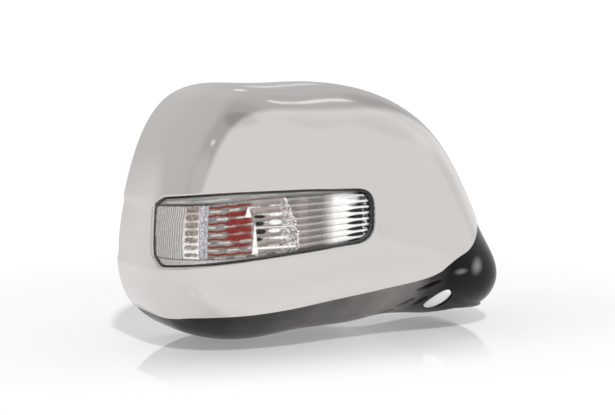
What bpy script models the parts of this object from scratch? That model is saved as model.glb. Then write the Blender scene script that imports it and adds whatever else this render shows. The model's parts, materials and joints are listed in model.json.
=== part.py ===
"""A power-folding car side mirror: the right-hand head, from its outer shells to the drives inside.

Lengths are millimetres, and the mesh helpers turn them into Blender's metres. +X runs inboard to the
car, +Y to the car's rear (the glass faces it) and +Z up. The origin is on the fold axis, at the face
where the pivot base meets the door's bracket.
"""

from math import cos, exp, pi, radians, sin, tau

import bmesh
import bpy
import numpy as np
from mathutils import Matrix, Vector

MM = 0.001
GAP = 0.3  # clearance that touching pieces keep

# ---- driving dimensions of the head's outer form ----
FORM_X, FORM_Z = -115.0, 78.0  # centre that the rim's radii are measured from
REAR_Y = 46.0  # plane of the rear rim
FORM_DEPTH = 106.0  # rim to the front face
RIM = (  # the rear rim seen from the front, as (x, z)
    (42, 18), (32, 45), (21, 68), (6, 98), (-20, 135), (-60, 159), (-110, 165.5), (-160, 165),
    (-203, 158), (-227, 128), (-240, 86), (-245, 46), (-236, 13), (-206, -9), (-150, -13.5),
    (-80, -11), (-20, -9.5), (22, -8), (38, 3),
)
CORNERING = ((0, 2.9), (90, 2.7), (180, 4.0), (270, 2.8))  # superellipse power by direction
SPLIT_LINE = (  # lower edge of the chromed cover, as (x, z)
    (-262, 30), (-243, 19), (-236, 12.5), (-231, 8), (-226, 9), (-221, 10.8), (-209, 11.9), (-185, 13),
    (-150, 16), (-100, 21.5), (-69, 25.8), (-52, 29.5), (-42, 33), (-36, 37), (-27, 42), (-15, 46.5),
    (-5, 53), (3, 60.5), (15, 69), (55, 83),
)
FAR_FRONT_Y, FAR_REAR_Y = -120, REAR_Y + 60  # cutters through the whole head run between these
COVER_WALL = 3.0
LOWER_STEP = 1.0  # how far the lower cover lies inside the chromed cover's surface
LOWER_WALL = 2.5
AROUND, RINGS = 48, 10  # facets of the form: around it, and from front centre to rim
SHARP_EDGE = radians(32)  # edges that turn further than this stay sharp

# ---- the swelling of the lower cover over the fold unit ----
KNOB_CENTRE = (14, -20, 25)
KNOB_FROM = (-12, 8, 37)
KNOB_RISE, KNOB_SPREAD = 3.5, 15.0

# ---- fixing places, as (x, z) ----
COVER_BOSSES = ((-52, 119), (-190, 119), (-60, 53))
BOSS_RADIUS, PILOT_RADIUS, PILOT_DEPTH = 4.2, 1.8, 14
FOLD_SCREWS = ((-33.0, 48.0), (-38.0, 42.0))
SCREW_HOLE, ADJUSTER_SCREW_HOLE = 2.0, 1.9

# ---- turn-signal lamp ----
LAMP_RIGHT, LAMP_REAR_Y = -96.4, -12.0
LAMP_TOP_EDGE = (  # it falls rearwards round the outer end
    (-125, 96.4), (-162, 96.4), (-193, 96.1), (-216, 94.9), (-227, 92.5), (-235, 88), (-241, 81), (-250, 73),
)
LAMP_LOW_RIGHT, LAMP_LOW_RISE = 60.5, 0.105  # the lower edge rises inboard
LAMP_CORNER = 14.0
LAMP_CLEARANCE = 0.6
LENS_INSET, LENS_WALL = 0.6, 2.4
SEAL_THICK, SEAL_WIDTH = 1.2, 2.2
LAMP_DEPTH, LAMP_WALL = 27.0, 2.0
REFLECTOR_BACK = 12.0  # from the lamp body's front edge to the reflector
BULB = (-188.0, -30.0, 73.0)
BULB_RADIUS, BULB_HALF, BULB_ROUND = 4.6, 9.0, 2.6
HOLDER_RADIUS, HOLDER_LENGTH = 8.0, 15.0
HOLDER_HOLE, FRAME_HOLDER_HOLE = 8.6, 10.5
CHANNEL = (44.5, 86.5)  # heights of the shallow channel behind the lamp
CHANNEL_DEPTH = 1.6
CHANNEL_X, CHANNEL_FRONT_Y = (-300, -200), -40

# ---- puddle lamp and drain slots in the lower cover ----
PUDDLE_AT = (-33.2, -36.9, 10.4)
PUDDLE_OUT = (-0.06, -0.61, -0.79)  # the way the lens faces
PUDDLE_LONG, PUDDLE_SHORT = (5.5, -9.2, 6.7), (6.8, 6.2, -5.4)  # half diameters of the oval, at a slant
PUDDLE_TOP, PUDDLE_SEAT, PUDDLE_CUP = -0.6, -3.4, -8.0  # heights of the lens, its back and its cup's end
CUP_SHARE, CUP_WALL_SHARE = 0.82, 0.84  # the cup's size in the lens's, and its hollow's size in the cup's
SLOTS = (  # both ends of each slot, and its width
    ((-61.3, -26.5, 5.0), (-53.7, -38.5, 12.7), 3.4),
    ((-49.5, -29.0, 5.9), (-43.6, -41.0, 13.8), 2.8),
    ((-70.0, -18.0, 0.2), (-58.7, -20.5, 2.0), 3.4),
    ((-56.0, -45.0, 19.2), (-38.5, -50.2, 26.4), 2.2),
)
SLOT_REACH = 9.0  # how far the slots' cutters go each way

# ---- mirror glass and its adjuster ----
GLASS = (  # outline of the glass, as (x, z)
    (-15, 58), (-18, 98), (-38, 127), (-70, 144), (-115, 151), (-160, 150.5), (-192, 144),
    (-213, 120), (-225, 84), (-229, 48), (-219, 23), (-194, 7), (-150, 2), (-90, 3),
    (-46, 9), (-23, 27),
)
GLASS_REAR_Y, GLASS_THICK = 40.0, 2.0
HEATER_THICK = 0.6
CARRIER_THICK = 3.0
HEATER_INSET = 4.0
CARRIER_RIM, CARRIER_RIM_BACK = 1.6, 0.6  # how far its rim stands outside the glass and short of its face
GLASS_MARGIN, BEZEL_WALL = 5.0, 2.0  # gap from the glass to the bezel, and the bezel's wall
BEZEL_REAR_Y, BEZEL_WALL_FRONT_Y = 48.5, 34.3
SWIVEL = Vector((-121.0, 24.0, 76.0))  # centre that the glass turns about
LEVER = 26.0  # from that centre to each plunger
PAN_AT = SWIVEL + Vector((-LEVER, 0, 0))
TILT_AT = SWIVEL + Vector((0, 0, -LEVER))
PIN_BORE, PIN_RADIUS = 2.0, 1.6
PIN_REACH, PIN_BORE_REACH, EAR_AT = 17.5, 18.5, 14.5  # from the swivel's centre
ADJUSTER_HALF, ADJUSTER_CORNER = 42.0, 8.0
ADJUSTER_FRONT_Y, ADJUSTER_REAR_Y, ADJUSTER_SEAM_Y = -2.0, 16.0, 7.0
WHEEL_Y = 7.0
PLUNGER_END_Y = 4.2
CASE_WALL = 2.0
PLUNGER_RADIUS, BALL_RADIUS, PLUNGER_HOLE = 2.2, 3.1, 3.6

# ---- gears: worm and wheel pairs ----
MODULE = 0.8
WORM_RADIUS = 3.2  # pitch radius of every worm
WORM_CORE, WORM_TIP = 2.1, 3.75
ADJUST_TEETH, FOLD_TEETH = 24, 32
TOOTH_SHARE = 0.36  # share of the pitch that a tooth or thread fills
WORM_OFFSET = ADJUST_TEETH * MODULE / 2 + WORM_RADIUS
FOLD_WORM_OFFSET = FOLD_TEETH * MODULE / 2 + WORM_RADIUS
WORM_LENGTH = 10.0
ADJUST_MOTOR_START, FOLD_MOTOR_START = 9.6, 13.5  # along the worm from its middle
ADJUST_MOTOR_LENGTH, FOLD_MOTOR_LENGTH = 20.0, 25.0
ADJUST_MOTOR_RADIUS, FOLD_MOTOR_RADIUS = 6.4, 7.0
SHAFT_RADIUS, SHAFT_BORE, SHAFT_INTO_MOTOR = 1.0, 1.3, 5.0

# ---- fold unit ----
FLANGE_RADIUS, FLANGE_THICK = 23.0, 4.0
POST_RADIUS, POST_BORE, POST_TOP = 8.0, 4.6, 51.0
BOLT_CIRCLE, BOLT_HOLE = 18.0, 2.2
COLLAR_RADIUS, COLLAR_TOP = 15.0, 7.5
WASHER_RADIUS, WASHER_THICK = 14.5, 1.5
SPRING_TOP = 39.5
SPRING_TURNS, SPRING_WIRE, SPRING_RADIUS, SPRING_POINTS_A_TURN = 2.5, 1.1, 10.6, 14
CLIP_RADIUS, CLIP_LOW, CLIP_HIGH = 10.5, SPRING_TOP + 1.9, SPRING_TOP + 3.2
RING_BORE = POST_RADIUS + 0.4  # of the washer and the spring's cap
FOLD_CASE_RADIUS, FOLD_CASE_WALL = 20.0, 2.2
POD_HALF, POD_RIGHT, POD_WALL = 9.0, 9.0, 1.7  # the worm and motor's housing on the fold case
LUG_RIGHT, LUG_THICK, LUG_HEIGHT = -21.0, 8.0, 15.0
PIVOT_HOLE = 24.2  # radius of the hole that the flange lies in
FOLD_CASE_LOW, FOLD_CASE_TOP = 9.8, 45.0
FOLD_WHEEL_Z, FOLD_WHEEL_HALF = 29.0, 2.5

# ---- inner frame ----
FRAME_Y, FRAME_THICK, FRAME_RIM = -7.0, 4.0, 4.0
FRAME_REAR_Y = FRAME_Y + FRAME_THICK
FRAME_OUTLINE = (
    (-22, 15), (-22, 67), (-34, 103), (-44, 125), (-80, 135), (-190, 133), (-206, 119),
    (-212, 87), (-206, 39), (-186, 21), (-60, 17),
)
FRAME_WINDOW_HALF, FRAME_WINDOW_CORNER = 30, 10
RIM_SHARE_X, RIM_SHARE_Z = 0.965, 0.95  # the inside of the frame's rim against its outline
THROUGH_FRAME = (FRAME_Y - 5, FRAME_REAR_Y + 9)

# ---- plug and leads ----
PLUG = ((-76, FRAME_REAR_Y + GAP, 103), (-60, 6, 115))
LEAD_RADIUS, LEAD_STEPS = 1.3, 4

COLLECTION = "car_side_mirror"


# ---------------------------------------------------------------- mesh helpers
def new_object(name, mesh):
    """Links a mesh to the scene as an object."""
    made = bpy.data.objects.new(name, mesh)
    bpy.context.scene.collection.objects.link(made)
    return made


def face_out(bm):
    """Turns every face of a closed body outwards."""
    bmesh.ops.recalc_face_normals(bm, faces=bm.faces)
    if bm.calc_volume(signed=True) < 0:
        bmesh.ops.reverse_faces(bm, faces=bm.faces)


def from_bmesh(name, bm):
    """Turns a bmesh in millimetres into an object whose faces all point out."""
    face_out(bm)
    bmesh.ops.scale(bm, vec=(MM, MM, MM), verts=bm.verts)
    mesh = bpy.data.meshes.new(name)
    bm.to_mesh(mesh)
    bm.free()
    return new_object(name, mesh)


def box(name, low, high, rounding=0.0, segments=2):
    """A block between two corners, with its edges rounded if asked."""
    low, high = Vector(low), Vector(high)
    bm = bmesh.new()
    bmesh.ops.create_cube(bm, size=1.0)
    bmesh.ops.scale(bm, vec=high - low, verts=bm.verts)
    bmesh.ops.translate(bm, vec=(low + high) / 2, verts=bm.verts)
    if rounding:
        bmesh.ops.bevel(bm, geom=bm.edges[:], offset=rounding, segments=segments, affect="EDGES")
    return from_bmesh(name, bm)


def cylinder(name, start, end, radius, end_radius=None, sides=24):
    """A round bar or cone from start to end."""
    start, end = Vector(start), Vector(end)
    along = end - start
    bm = bmesh.new()
    bmesh.ops.create_cone(
        bm, cap_ends=True, segments=sides, radius1=radius,
        radius2=radius if end_radius is None else end_radius, depth=along.length,
    )
    turn = along.to_track_quat("Z", "Y").to_matrix().to_4x4()
    bm.transform(Matrix.Translation((start + end) / 2) @ turn)
    return from_bmesh(name, bm)


def loft(name, rings, joined_ends=False):
    """Skins a list of rings of equal count, capped at both ends or joined into a closed frame."""
    bm = bmesh.new()
    loops = [[bm.verts.new(p) for p in ring] for ring in rings]
    count = len(rings[0])
    pairs = list(zip(loops, loops[1:]))
    if joined_ends:
        pairs.append((loops[-1], loops[0]))
    for a, b in pairs:
        for i in range(count):
            j = (i + 1) % count
            bm.faces.new((a[i], a[j], b[j], b[i]))
    if not joined_ends:
        bm.faces.new(loops[0])
        bm.faces.new(loops[-1])
    return from_bmesh(name, bm)


def turned(name, profile, steps=32):
    """A ring about a vertical axis: a closed profile of (radius, z) points with a Screw modifier."""
    bm = bmesh.new()
    verts = [bm.verts.new((r * MM, 0, z * MM)) for r, z in profile]
    for i, v in enumerate(verts):
        bm.edges.new((v, verts[(i + 1) % len(verts)]))
    mesh = bpy.data.meshes.new(name)
    bm.to_mesh(mesh)
    bm.free()
    made = new_object(name, mesh)
    screw = made.modifiers.new("turn", "SCREW")
    screw.steps = screw.render_steps = steps
    screw.use_merge_vertices = True
    screw.merge_threshold = 1e-5
    return settle(made, turn_out=True)


def flat_ring(name, bore, radius, low, high, steps=32):
    """A flat ring about the fold axis."""
    return turned(name, [(radius, high), (radius, low), (bore, low), (bore, high)], steps)


def plate(name, outline, y_low, y_high, holes=()):
    """A flat outline of (x, z) points extruded along Y, as a filled 2D curve."""
    curve = bpy.data.curves.new(name, "CURVE")
    curve.dimensions = "2D"
    curve.fill_mode = "BOTH"
    curve.extrude = (y_high - y_low) / 2 * MM
    for points in (outline, *holes):
        spline = curve.splines.new("POLY")
        spline.points.add(len(points) - 1)
        spline.use_cyclic_u = True
        for point, (x, z) in zip(spline.points, points):
            point.co = (x * MM, z * MM, 0, 1)
    made = new_object(name, curve)
    mid = (y_low + y_high) / 2 * MM
    made.matrix_world = Matrix.Translation((0, mid, 0)) @ Matrix.Rotation(pi / 2, 4, "X")
    bpy.context.view_layer.update()
    return as_mesh(made)


def as_mesh(source):
    """The evaluated mesh of an object as a plain object in world space, its caps welded on."""
    bpy.context.view_layer.update()
    graph = bpy.context.evaluated_depsgraph_get()
    mesh = bpy.data.meshes.new_from_object(source.evaluated_get(graph))
    mesh.transform(source.matrix_world)
    name = source.name
    bpy.data.objects.remove(source)
    mesh.name = name
    tidy(mesh)
    return new_object(name, mesh)


def tidy(mesh, turn_out=True):
    """Welds coincident points and, unless a Boolean has already done so, turns every face outwards."""
    bm = bmesh.new()
    bm.from_mesh(mesh)
    bmesh.ops.remove_doubles(bm, verts=bm.verts, dist=1e-6)
    if turn_out:
        face_out(bm)
    bm.to_mesh(mesh)
    bm.free()


def settle(target, turn_out=False):
    """Applies an object's modifiers to its mesh."""
    bpy.context.view_layer.update()
    graph = bpy.context.evaluated_depsgraph_get()
    mesh = bpy.data.meshes.new_from_object(target.evaluated_get(graph))
    target.modifiers.clear()
    target.data = mesh
    tidy(mesh, turn_out)
    return target


def combine(target, operation, *others):
    """Runs one exact Boolean for each of the others, which are used up."""
    for other in others:
        step = target.modifiers.new(operation, "BOOLEAN")
        step.operation = operation
        step.object = other
        settle(target)
        bpy.data.objects.remove(other)
    return target


def cut(target, *cutters):
    return combine(target, "DIFFERENCE", *cutters)


def keep(target, *regions):
    return combine(target, "INTERSECT", *regions)


def join(target, *others):
    return combine(target, "UNION", *others)


def arc(centre_x, centre_z, radius, start_deg, end_deg, steps):
    """Points along a circular arc, as (x, z)."""
    angles = [radians(start_deg + (end_deg - start_deg) * k / steps) for k in range(steps + 1)]
    return [(centre_x + radius * cos(a), centre_z + radius * sin(a)) for a in angles]


def rounded_rectangle(centre_x, centre_z, half_x, half_z, radius, steps=4):
    """A rectangle with round corners, as (x, z)."""
    points = []
    for turn, sx, sz in ((0, 1, 1), (90, -1, 1), (180, -1, -1), (270, 1, -1)):
        corner_x = centre_x + sx * (half_x - radius)
        corner_z = centre_z + sz * (half_z - radius)
        points += arc(corner_x, corner_z, radius, turn, turn + 90, steps)
    return points


# ---------------------------------------------------------------- the head's outer form
def periodic_spline(angles, values):
    """A smooth closed function of angle through the given values (a periodic cubic spline)."""
    order = np.argsort(angles)
    a, v = np.asarray(angles, float)[order], np.asarray(values, float)[order]
    count = len(a)
    step = np.diff(np.append(a, a[0] + tau))
    system, right = np.zeros((count, count)), np.zeros(count)
    for i in range(count):
        after = (i + 1) % count
        system[i, i - 1] += step[i - 1]
        system[i, i] += 2 * (step[i - 1] + step[i])
        system[i, after] += step[i]
        right[i] = 6 * ((v[after] - v[i]) / step[i] - (v[i] - v[i - 1]) / step[i - 1])
    bend = np.linalg.solve(system, right)

    def value(angle):
        t = (angle - a[0]) % tau + a[0]
        i = int(np.searchsorted(a, t, side="right")) - 1
        after = (i + 1) % count
        far, near = (step[i] - (t - a[i])) / step[i], (t - a[i]) / step[i]
        curve = (far**3 - far) * bend[i] + (near**3 - near) * bend[after]
        return float(far * v[i] + near * v[after] + curve * step[i] ** 2 / 6)

    return value


def outline_radius(points):
    """The radius about the form's centre, by direction, of a closed curve through (x, z) points."""
    offset = np.asarray(points, float) - (FORM_X, FORM_Z)
    return periodic_spline(np.arctan2(offset[:, 1], offset[:, 0]), np.hypot(*offset.T))


rim_radius = outline_radius(RIM)
glass_radius = outline_radius(GLASS)
cornering = periodic_spline([radians(a) for a, _ in CORNERING], [p for _, p in CORNERING])


def form_point(direction, rise, inset=0.0, knob=False):
    """A point of the form: direction goes round it, rise from 0 at the nose to 90 degrees at the rim."""
    power = cornering(direction)
    share, depth = sin(rise) ** (2 / power), max(0.0, cos(rise)) ** (2 / power)
    radius = share * (rim_radius(direction) - inset)
    point = Vector((
        FORM_X + radius * cos(direction),
        REAR_Y - depth * (FORM_DEPTH - inset),
        FORM_Z + radius * sin(direction),
    ))
    if knob:
        swell = KNOB_RISE * exp(-(point - Vector(KNOB_CENTRE)).length_squared / (2 * KNOB_SPREAD**2))
        point += swell * (point - Vector(KNOB_FROM)).normalized()
    return point


def form_solid(name, inset=0.0, rear=REAR_Y, knob=False):
    """The form as a closed solid, run straight back from its rim to the rear plane given."""
    directions = [tau * i / AROUND for i in range(AROUND)]
    rises = [pi / 2 * (j + 1) / RINGS for j in range(RINGS)]
    rings = [[form_point(d, r, inset, knob) for d in directions] for r in rises]
    if rear > REAR_Y:
        rings.append([Vector((p.x, rear, p.z)) for p in rings[-1]])
    bm = bmesh.new()
    nose = bm.verts.new(form_point(0, 0, inset, knob))
    loops = [[bm.verts.new(p) for p in ring] for ring in rings]
    for i in range(AROUND):
        j = (i + 1) % AROUND
        bm.faces.new((nose, loops[0][i], loops[0][j]))
        for a, b in zip(loops, loops[1:]):
            bm.faces.new((a[i], b[i], b[j], a[j]))
    bm.faces.new(loops[-1])
    return from_bmesh(name, bm)


def form_layer(name, outer_inset, inner_inset, knob=False):
    """The skin between two depths below the form's surface, open to the rear."""
    skin = form_solid(name, outer_inset, knob=knob)
    return cut(skin, form_solid("core", inner_inset, rear=REAR_Y + 20, knob=knob))


def front_y(x, z, inset=0.0):
    """Where the form's front surface lies at a place seen from the front."""
    direction = np.arctan2(z - FORM_Z, x - FORM_X)
    share = min(1.0, np.hypot(x - FORM_X, z - FORM_Z) / (rim_radius(direction) - inset))
    power = cornering(direction)
    return REAR_Y - (FORM_DEPTH - inset) * (1 - share**power) ** (1 / power)


# ---------------------------------------------------------------- regions and cutters
def split_region(name, above, gap):
    """Everything above, or below, the split line."""
    side, far = (1, 260) if above else (-1, -80)
    line = [(x, z + side * gap / 2) for x, z in SPLIT_LINE]
    outline = line + [(line[-1][0], far), (line[0][0], far)]
    return plate(name, outline, FAR_FRONT_Y, FAR_REAR_Y)


def offset_outline(points, distance):
    """A closed outline, given anticlockwise, moved outwards by a distance."""
    moved = []
    for before, here, after in zip(points[-1:] + points[:-1], points, points[1:] + points[:1]):
        first = (Vector(here) - Vector(before)).normalized()
        second = (Vector(after) - Vector(here)).normalized()
        out = Vector((first.y + second.y, -first.x - second.x))
        moved.append(tuple(Vector(here) + out * (2 * distance / out.length_squared)))
    return moved


def lamp_region(name, grow):
    """The space of the lamp, which the rear limit and the outline seen from the front bound."""
    slope = np.arctan(LAMP_LOW_RISE)
    corner_x = LAMP_RIGHT - LAMP_CORNER
    low_z = LAMP_LOW_RIGHT + LAMP_CORNER / cos(slope)
    low_arc = arc(corner_x, low_z, LAMP_CORNER, 270 + np.degrees(slope), 360, 5)
    high_arc = arc(corner_x, LAMP_TOP_EDGE[0][1] - LAMP_CORNER, LAMP_CORNER, 0, 90, 5)
    foot_x = LAMP_TOP_EDGE[-1][0]
    foot = (foot_x, low_arc[0][1] - LAMP_LOW_RISE * (low_arc[0][0] - foot_x))
    outline = offset_outline([foot, *low_arc, *high_arc, *LAMP_TOP_EDGE], grow)
    return plate(name, outline, FAR_FRONT_Y, LAMP_REAR_Y + grow)


def ellipse_bar(name, centre, out, half_long, half_short, start, end, sides=24):
    """An elliptical bar along the direction out, from two half diameters of its section."""
    centre, half_long, half_short = Vector(centre), Vector(half_long), Vector(half_short)
    rings = []
    for depth in (start, end):
        middle = centre + Vector(out).normalized() * depth
        angles = [tau * k / sides for k in range(sides)]
        rings.append([middle + half_long * cos(a) + half_short * sin(a) for a in angles])
    return loft(name, rings)


def slot_cutter(start, end, width):
    """A round-ended bar through the cover, about square to its surface."""
    start, end = Vector(start), Vector(end)
    middle, along = (start + end) / 2, end - start
    direction = np.arctan2(middle.z - FORM_Z, middle.x - FORM_X)
    away = Vector((cos(direction), -1.0, sin(direction)))
    across = along.cross(away).normalized() * (width / 2)
    out = across.cross(along)
    return ellipse_bar("slot", middle, out, along / 2, across, -SLOT_REACH, SLOT_REACH, sides=14)


# ---------------------------------------------------------------- covers and bezel
def make_chrome_cover():
    cover = form_layer("chrome_cover", 0.0, COVER_WALL)
    keep(cover, split_region("above", True, GAP))
    cut(cover, lamp_region("lamp_hole", 0.0))
    channel = form_solid("channel", -4.0, rear=REAR_Y + 10)
    cut(channel, form_solid("channel_floor", CHANNEL_DEPTH, rear=REAR_Y + 20))
    low, high = (CHANNEL_X[0], CHANNEL_FRONT_Y, CHANNEL[0]), (CHANNEL_X[1], FAR_REAR_Y, CHANNEL[1])
    keep(channel, box("channel_part", low, high))
    cut(cover, channel)
    for x, z in COVER_BOSSES:
        around = arc(x, z, BOSS_RADIUS, 0, 360, 8)
        foot = max(front_y(*place) for place in around) + 1
        join(cover, cylinder("boss", (x, foot, z), (x, FRAME_Y - GAP, z), BOSS_RADIUS, sides=14))
        cut(cover, cylinder("pilot", (x, FRAME_Y - PILOT_DEPTH, z), (x, 0, z), PILOT_RADIUS, sides=10))
    return cover


def make_lower_cover():
    cover = form_layer("lower_cover", LOWER_STEP, LOWER_STEP + LOWER_WALL, knob=True)
    keep(cover, split_region("below", False, GAP))
    cut(cover, cylinder("pivot_hole", (0, 0, -40), (0, 0, 13), PIVOT_HOLE, sides=32))
    cut(cover, puddle_bar("puddle_hole", 1.06, -12, 12))
    for start, end, width in SLOTS:
        cut(cover, slot_cutter(start, end, width))
    return cover


def ring_at(y, radius_of, extra):
    """A ring of points about the form's centre at one depth."""
    directions = [tau * i / AROUND for i in range(AROUND)]
    ring = []
    for d in directions:
        radius = radius_of(d) + extra
        ring.append(Vector((FORM_X + radius * cos(d), y, FORM_Z + radius * sin(d))))
    return ring


def make_bezel():
    """The frame round the glass: a flange behind the covers' rear edges and a wall round the glass."""
    seat = REAR_Y + GAP
    rings = [
        ring_at(seat, rim_radius, -1.0),
        ring_at(seat + 0.9, rim_radius, -1.0),
        ring_at(BEZEL_REAR_Y, rim_radius, -2.4),
        ring_at(BEZEL_REAR_Y - 1.5, glass_radius, GLASS_MARGIN + 1.5),
        ring_at(BEZEL_WALL_FRONT_Y, glass_radius, GLASS_MARGIN),
        ring_at(BEZEL_WALL_FRONT_Y, glass_radius, GLASS_MARGIN + BEZEL_WALL),
        ring_at(seat, glass_radius, GLASS_MARGIN + BEZEL_WALL + 0.5),
    ]
    return loft("glass_bezel", rings, joined_ends=True)


# ---------------------------------------------------------------- lamp
def lamp_layer(name, outer_inset, inner_inset, grow):
    """A piece of the form's skin inside the lamp's outline."""
    return keep(form_layer(name, outer_inset, inner_inset), lamp_region("lamp_space", grow))


def make_lamp():
    outer = -LAMP_CLEARANCE
    lens = lamp_layer("lamp_lens", LENS_INSET, LENS_INSET + LENS_WALL, outer)
    seal_top = LENS_INSET + LENS_WALL + GAP
    seal = lamp_layer("lamp_seal", seal_top, seal_top + SEAL_THICK, outer)
    cut(seal, lamp_region("seal_hole", outer - SEAL_WIDTH))
    body_top = seal_top + SEAL_THICK + GAP
    body = lamp_layer("lamp_body", body_top, LAMP_DEPTH, outer)
    floor, inside = LAMP_DEPTH - LAMP_WALL, outer - LAMP_WALL
    cut(body, lamp_layer("hollow", body_top - 3, floor, inside))
    reflector = lamp_layer("lamp_reflector", body_top + REFLECTOR_BACK, floor - GAP, inside - GAP)
    x, y, z = BULB
    bulb_end, holder_start = y + BULB_HALF - GAP, y + BULB_HALF
    holder_end = holder_start + HOLDER_LENGTH
    socket = cylinder("bulb_holder", (x, holder_start, z), (x, holder_end, z), HOLDER_RADIUS, sides=20)
    for piece in (reflector, body):
        cut(piece, cylinder("holder_hole", (x, y - 20, z), (x, y + 30, z), HOLDER_HOLE, sides=20))
    bulb = cylinder("lamp_bulb", (x, y - BULB_HALF, z), (x, bulb_end, z), BULB_RADIUS, sides=16)
    tip = bulb.modifiers.new("round", "BEVEL")
    tip.width, tip.segments = BULB_ROUND * MM, 2
    tip.limit_method = "ANGLE"
    settle(bulb)
    return [lens, seal, body, reflector, socket, bulb]


# ---------------------------------------------------------------- puddle lamp
def puddle_bar(name, share, start, end):
    """An oval bar in the puddle lamp's place, its section a share of the lens's."""
    half_long, half_short = (Vector(half) * share for half in (PUDDLE_LONG, PUDDLE_SHORT))
    return ellipse_bar(name, PUDDLE_AT, PUDDLE_OUT, half_long, half_short, start, end)


def make_puddle_lamp():
    """A clear oval lens in the lower cover, a cup behind it and a light-emitting diode in the cup."""
    lens = puddle_bar("puddle_lens", 1.0, PUDDLE_SEAT, PUDDLE_TOP)
    cup = puddle_bar("puddle_cup", CUP_SHARE, PUDDLE_CUP, PUDDLE_SEAT - GAP)
    cut(cup, puddle_bar("cup_hollow", CUP_SHARE * CUP_WALL_SHARE, PUDDLE_CUP + 1.5, 0.0))
    out = Vector(PUDDLE_OUT).normalized()
    foot = PUDDLE_CUP + 1.5 + GAP
    at = Vector(PUDDLE_AT)
    diode = cylinder("puddle_diode", at + out * foot, at + out * (foot + 1.7), 3.0, sides=12)
    return [lens, cup, diode]


# ---------------------------------------------------------------- gears
def wheel(name, teeth, low, high, bore, centre, axis):
    """A spur-cut worm wheel about a Y or Z axis, made as a toothed outline run along it."""
    pitch_radius = teeth * MODULE / 2
    tip, root = pitch_radius + MODULE, pitch_radius - 1.2 * MODULE
    half = TOOTH_SHARE * tau / teeth / 2
    outline = []
    for k in range(teeth):
        middle = tau * k / teeth
        for radius, share in ((root, -1.25), (tip, -0.62), (tip, 0.62), (root, 1.25)):
            angle = middle + share * half
            outline.append((radius * cos(angle), radius * sin(angle)))
    blank = plate(name, outline, low, high)
    if axis.z:
        blank.data.transform(Matrix.Rotation(-pi / 2, 4, "X"))
        blank.data.transform(Matrix.Scale(-1, 4, (0, 1, 0)))
    blank.data.transform(Matrix.Translation(centre * MM))
    tidy(blank.data)
    return cut(blank, cylinder("bore", centre + axis * (low - 1), centre + axis * (high + 1), bore))


def worm(name, centre, along, facing, length, shaft_end):
    """A worm whose wheel lies the way it faces: a bar with a helical ridge and a shaft into its motor."""
    centre, along, facing = Vector(centre), Vector(along), Vector(facing)
    lead = pi * MODULE
    around, steps_a_turn = 12, 6
    stations = int(round(length / lead * steps_a_turn))
    side = along.cross(facing)
    rings = []
    for j in range(stations + 1):
        reach = -length / 2 + length * j / stations
        ring = []
        for i in range(around):
            turn = tau * i / around
            wave = (reach / lead - turn / tau + 0.5) % 1.0
            distance = min(wave, 1 - wave)
            ridge = min(1.0, max(0.0, (TOOTH_SHARE * 0.8 - distance) / (TOOTH_SHARE * 0.5)))
            if j in (0, stations):
                ridge = 0.0
            radius = WORM_CORE + (WORM_TIP - WORM_CORE) * ridge
            ring.append(centre + along * reach + (facing * cos(turn) + side * sin(turn)) * radius)
        rings.append(ring)
    made = loft(name, rings)
    return join(made, cylinder("shaft", centre, centre + along * shaft_end, SHAFT_RADIUS, sides=10))


def motor(name, centre, along, start, length, radius):
    """A motor can with a boss at the shaft end and a bore that the worm's shaft turns in."""
    centre, along = Vector(centre), Vector(along)
    front = centre + along * start
    can = cylinder(name, front, front + along * length, radius, sides=20)
    join(can, cylinder("boss", front - along * 1.2, front + along, 2.8, sides=14))
    bore_end = front + along * (SHAFT_INTO_MOTOR + 2)
    return cut(can, cylinder("shaft_bore", front - along * 3, bore_end, SHAFT_BORE, sides=12))


# ---------------------------------------------------------------- glass adjuster
def make_adjuster_case():
    """Two half cases with the swivel's ears on the rear one."""
    cx, cz = SWIVEL.x, SWIVEL.z
    half, inside, corner = ADJUSTER_HALF, ADJUSTER_HALF - CASE_WALL, ADJUSTER_CORNER
    outline = rounded_rectangle(cx, cz, half, half, corner)
    inner = rounded_rectangle(cx, cz, inside, inside, corner - CASE_WALL)
    front = plate("adjuster_case_front", outline, ADJUSTER_FRONT_Y, ADJUSTER_SEAM_Y)
    cut(front, plate("hollow", inner, ADJUSTER_FRONT_Y + CASE_WALL, ADJUSTER_SEAM_Y + 5))
    rear = plate("adjuster_case_rear", outline, ADJUSTER_SEAM_Y + GAP, ADJUSTER_REAR_Y)
    cut(rear, plate("hollow", inner, ADJUSTER_SEAM_Y - 5, ADJUSTER_REAR_Y - CASE_WALL))
    for at in (PAN_AT, TILT_AT):
        cut(rear, cylinder("plunger_hole", (at.x, 0, at.z), (at.x, 30, at.z), PLUNGER_HOLE, sides=16))
    for z in (cz - EAR_AT, cz + EAR_AT):
        low, high = (cx - 3.5, ADJUSTER_REAR_Y - 1, z - 2.5), (cx + 3.5, SWIVEL.y + 3.5, z + 2.5)
        join(rear, box("ear", low, high))
    reach = Vector((0, 0, PIN_BORE_REACH))
    cut(rear, cylinder("pin_bore", SWIVEL - reach, SWIVEL + reach, PIN_BORE, sides=12))
    for x, z in adjuster_screws():
        pillar = cylinder("pillar", (x, ADJUSTER_FRONT_Y + 1, z), (x, ADJUSTER_SEAM_Y, z), 3.6, sides=12)
        join(front, pillar)
        for case in (front, rear):
            cut(case, cylinder("hole", (x, -10, z), (x, 40, z), ADJUSTER_SCREW_HOLE, sides=10))
    return [front, rear]


def adjuster_screws():
    """Where three screws hold the adjuster's case to the frame."""
    reach = ADJUSTER_HALF - 8
    cx, cz = SWIVEL.x, SWIVEL.z
    return ((cx + reach, cz + reach), (cx + reach, cz - reach), (cx - reach, cz - reach))


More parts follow.
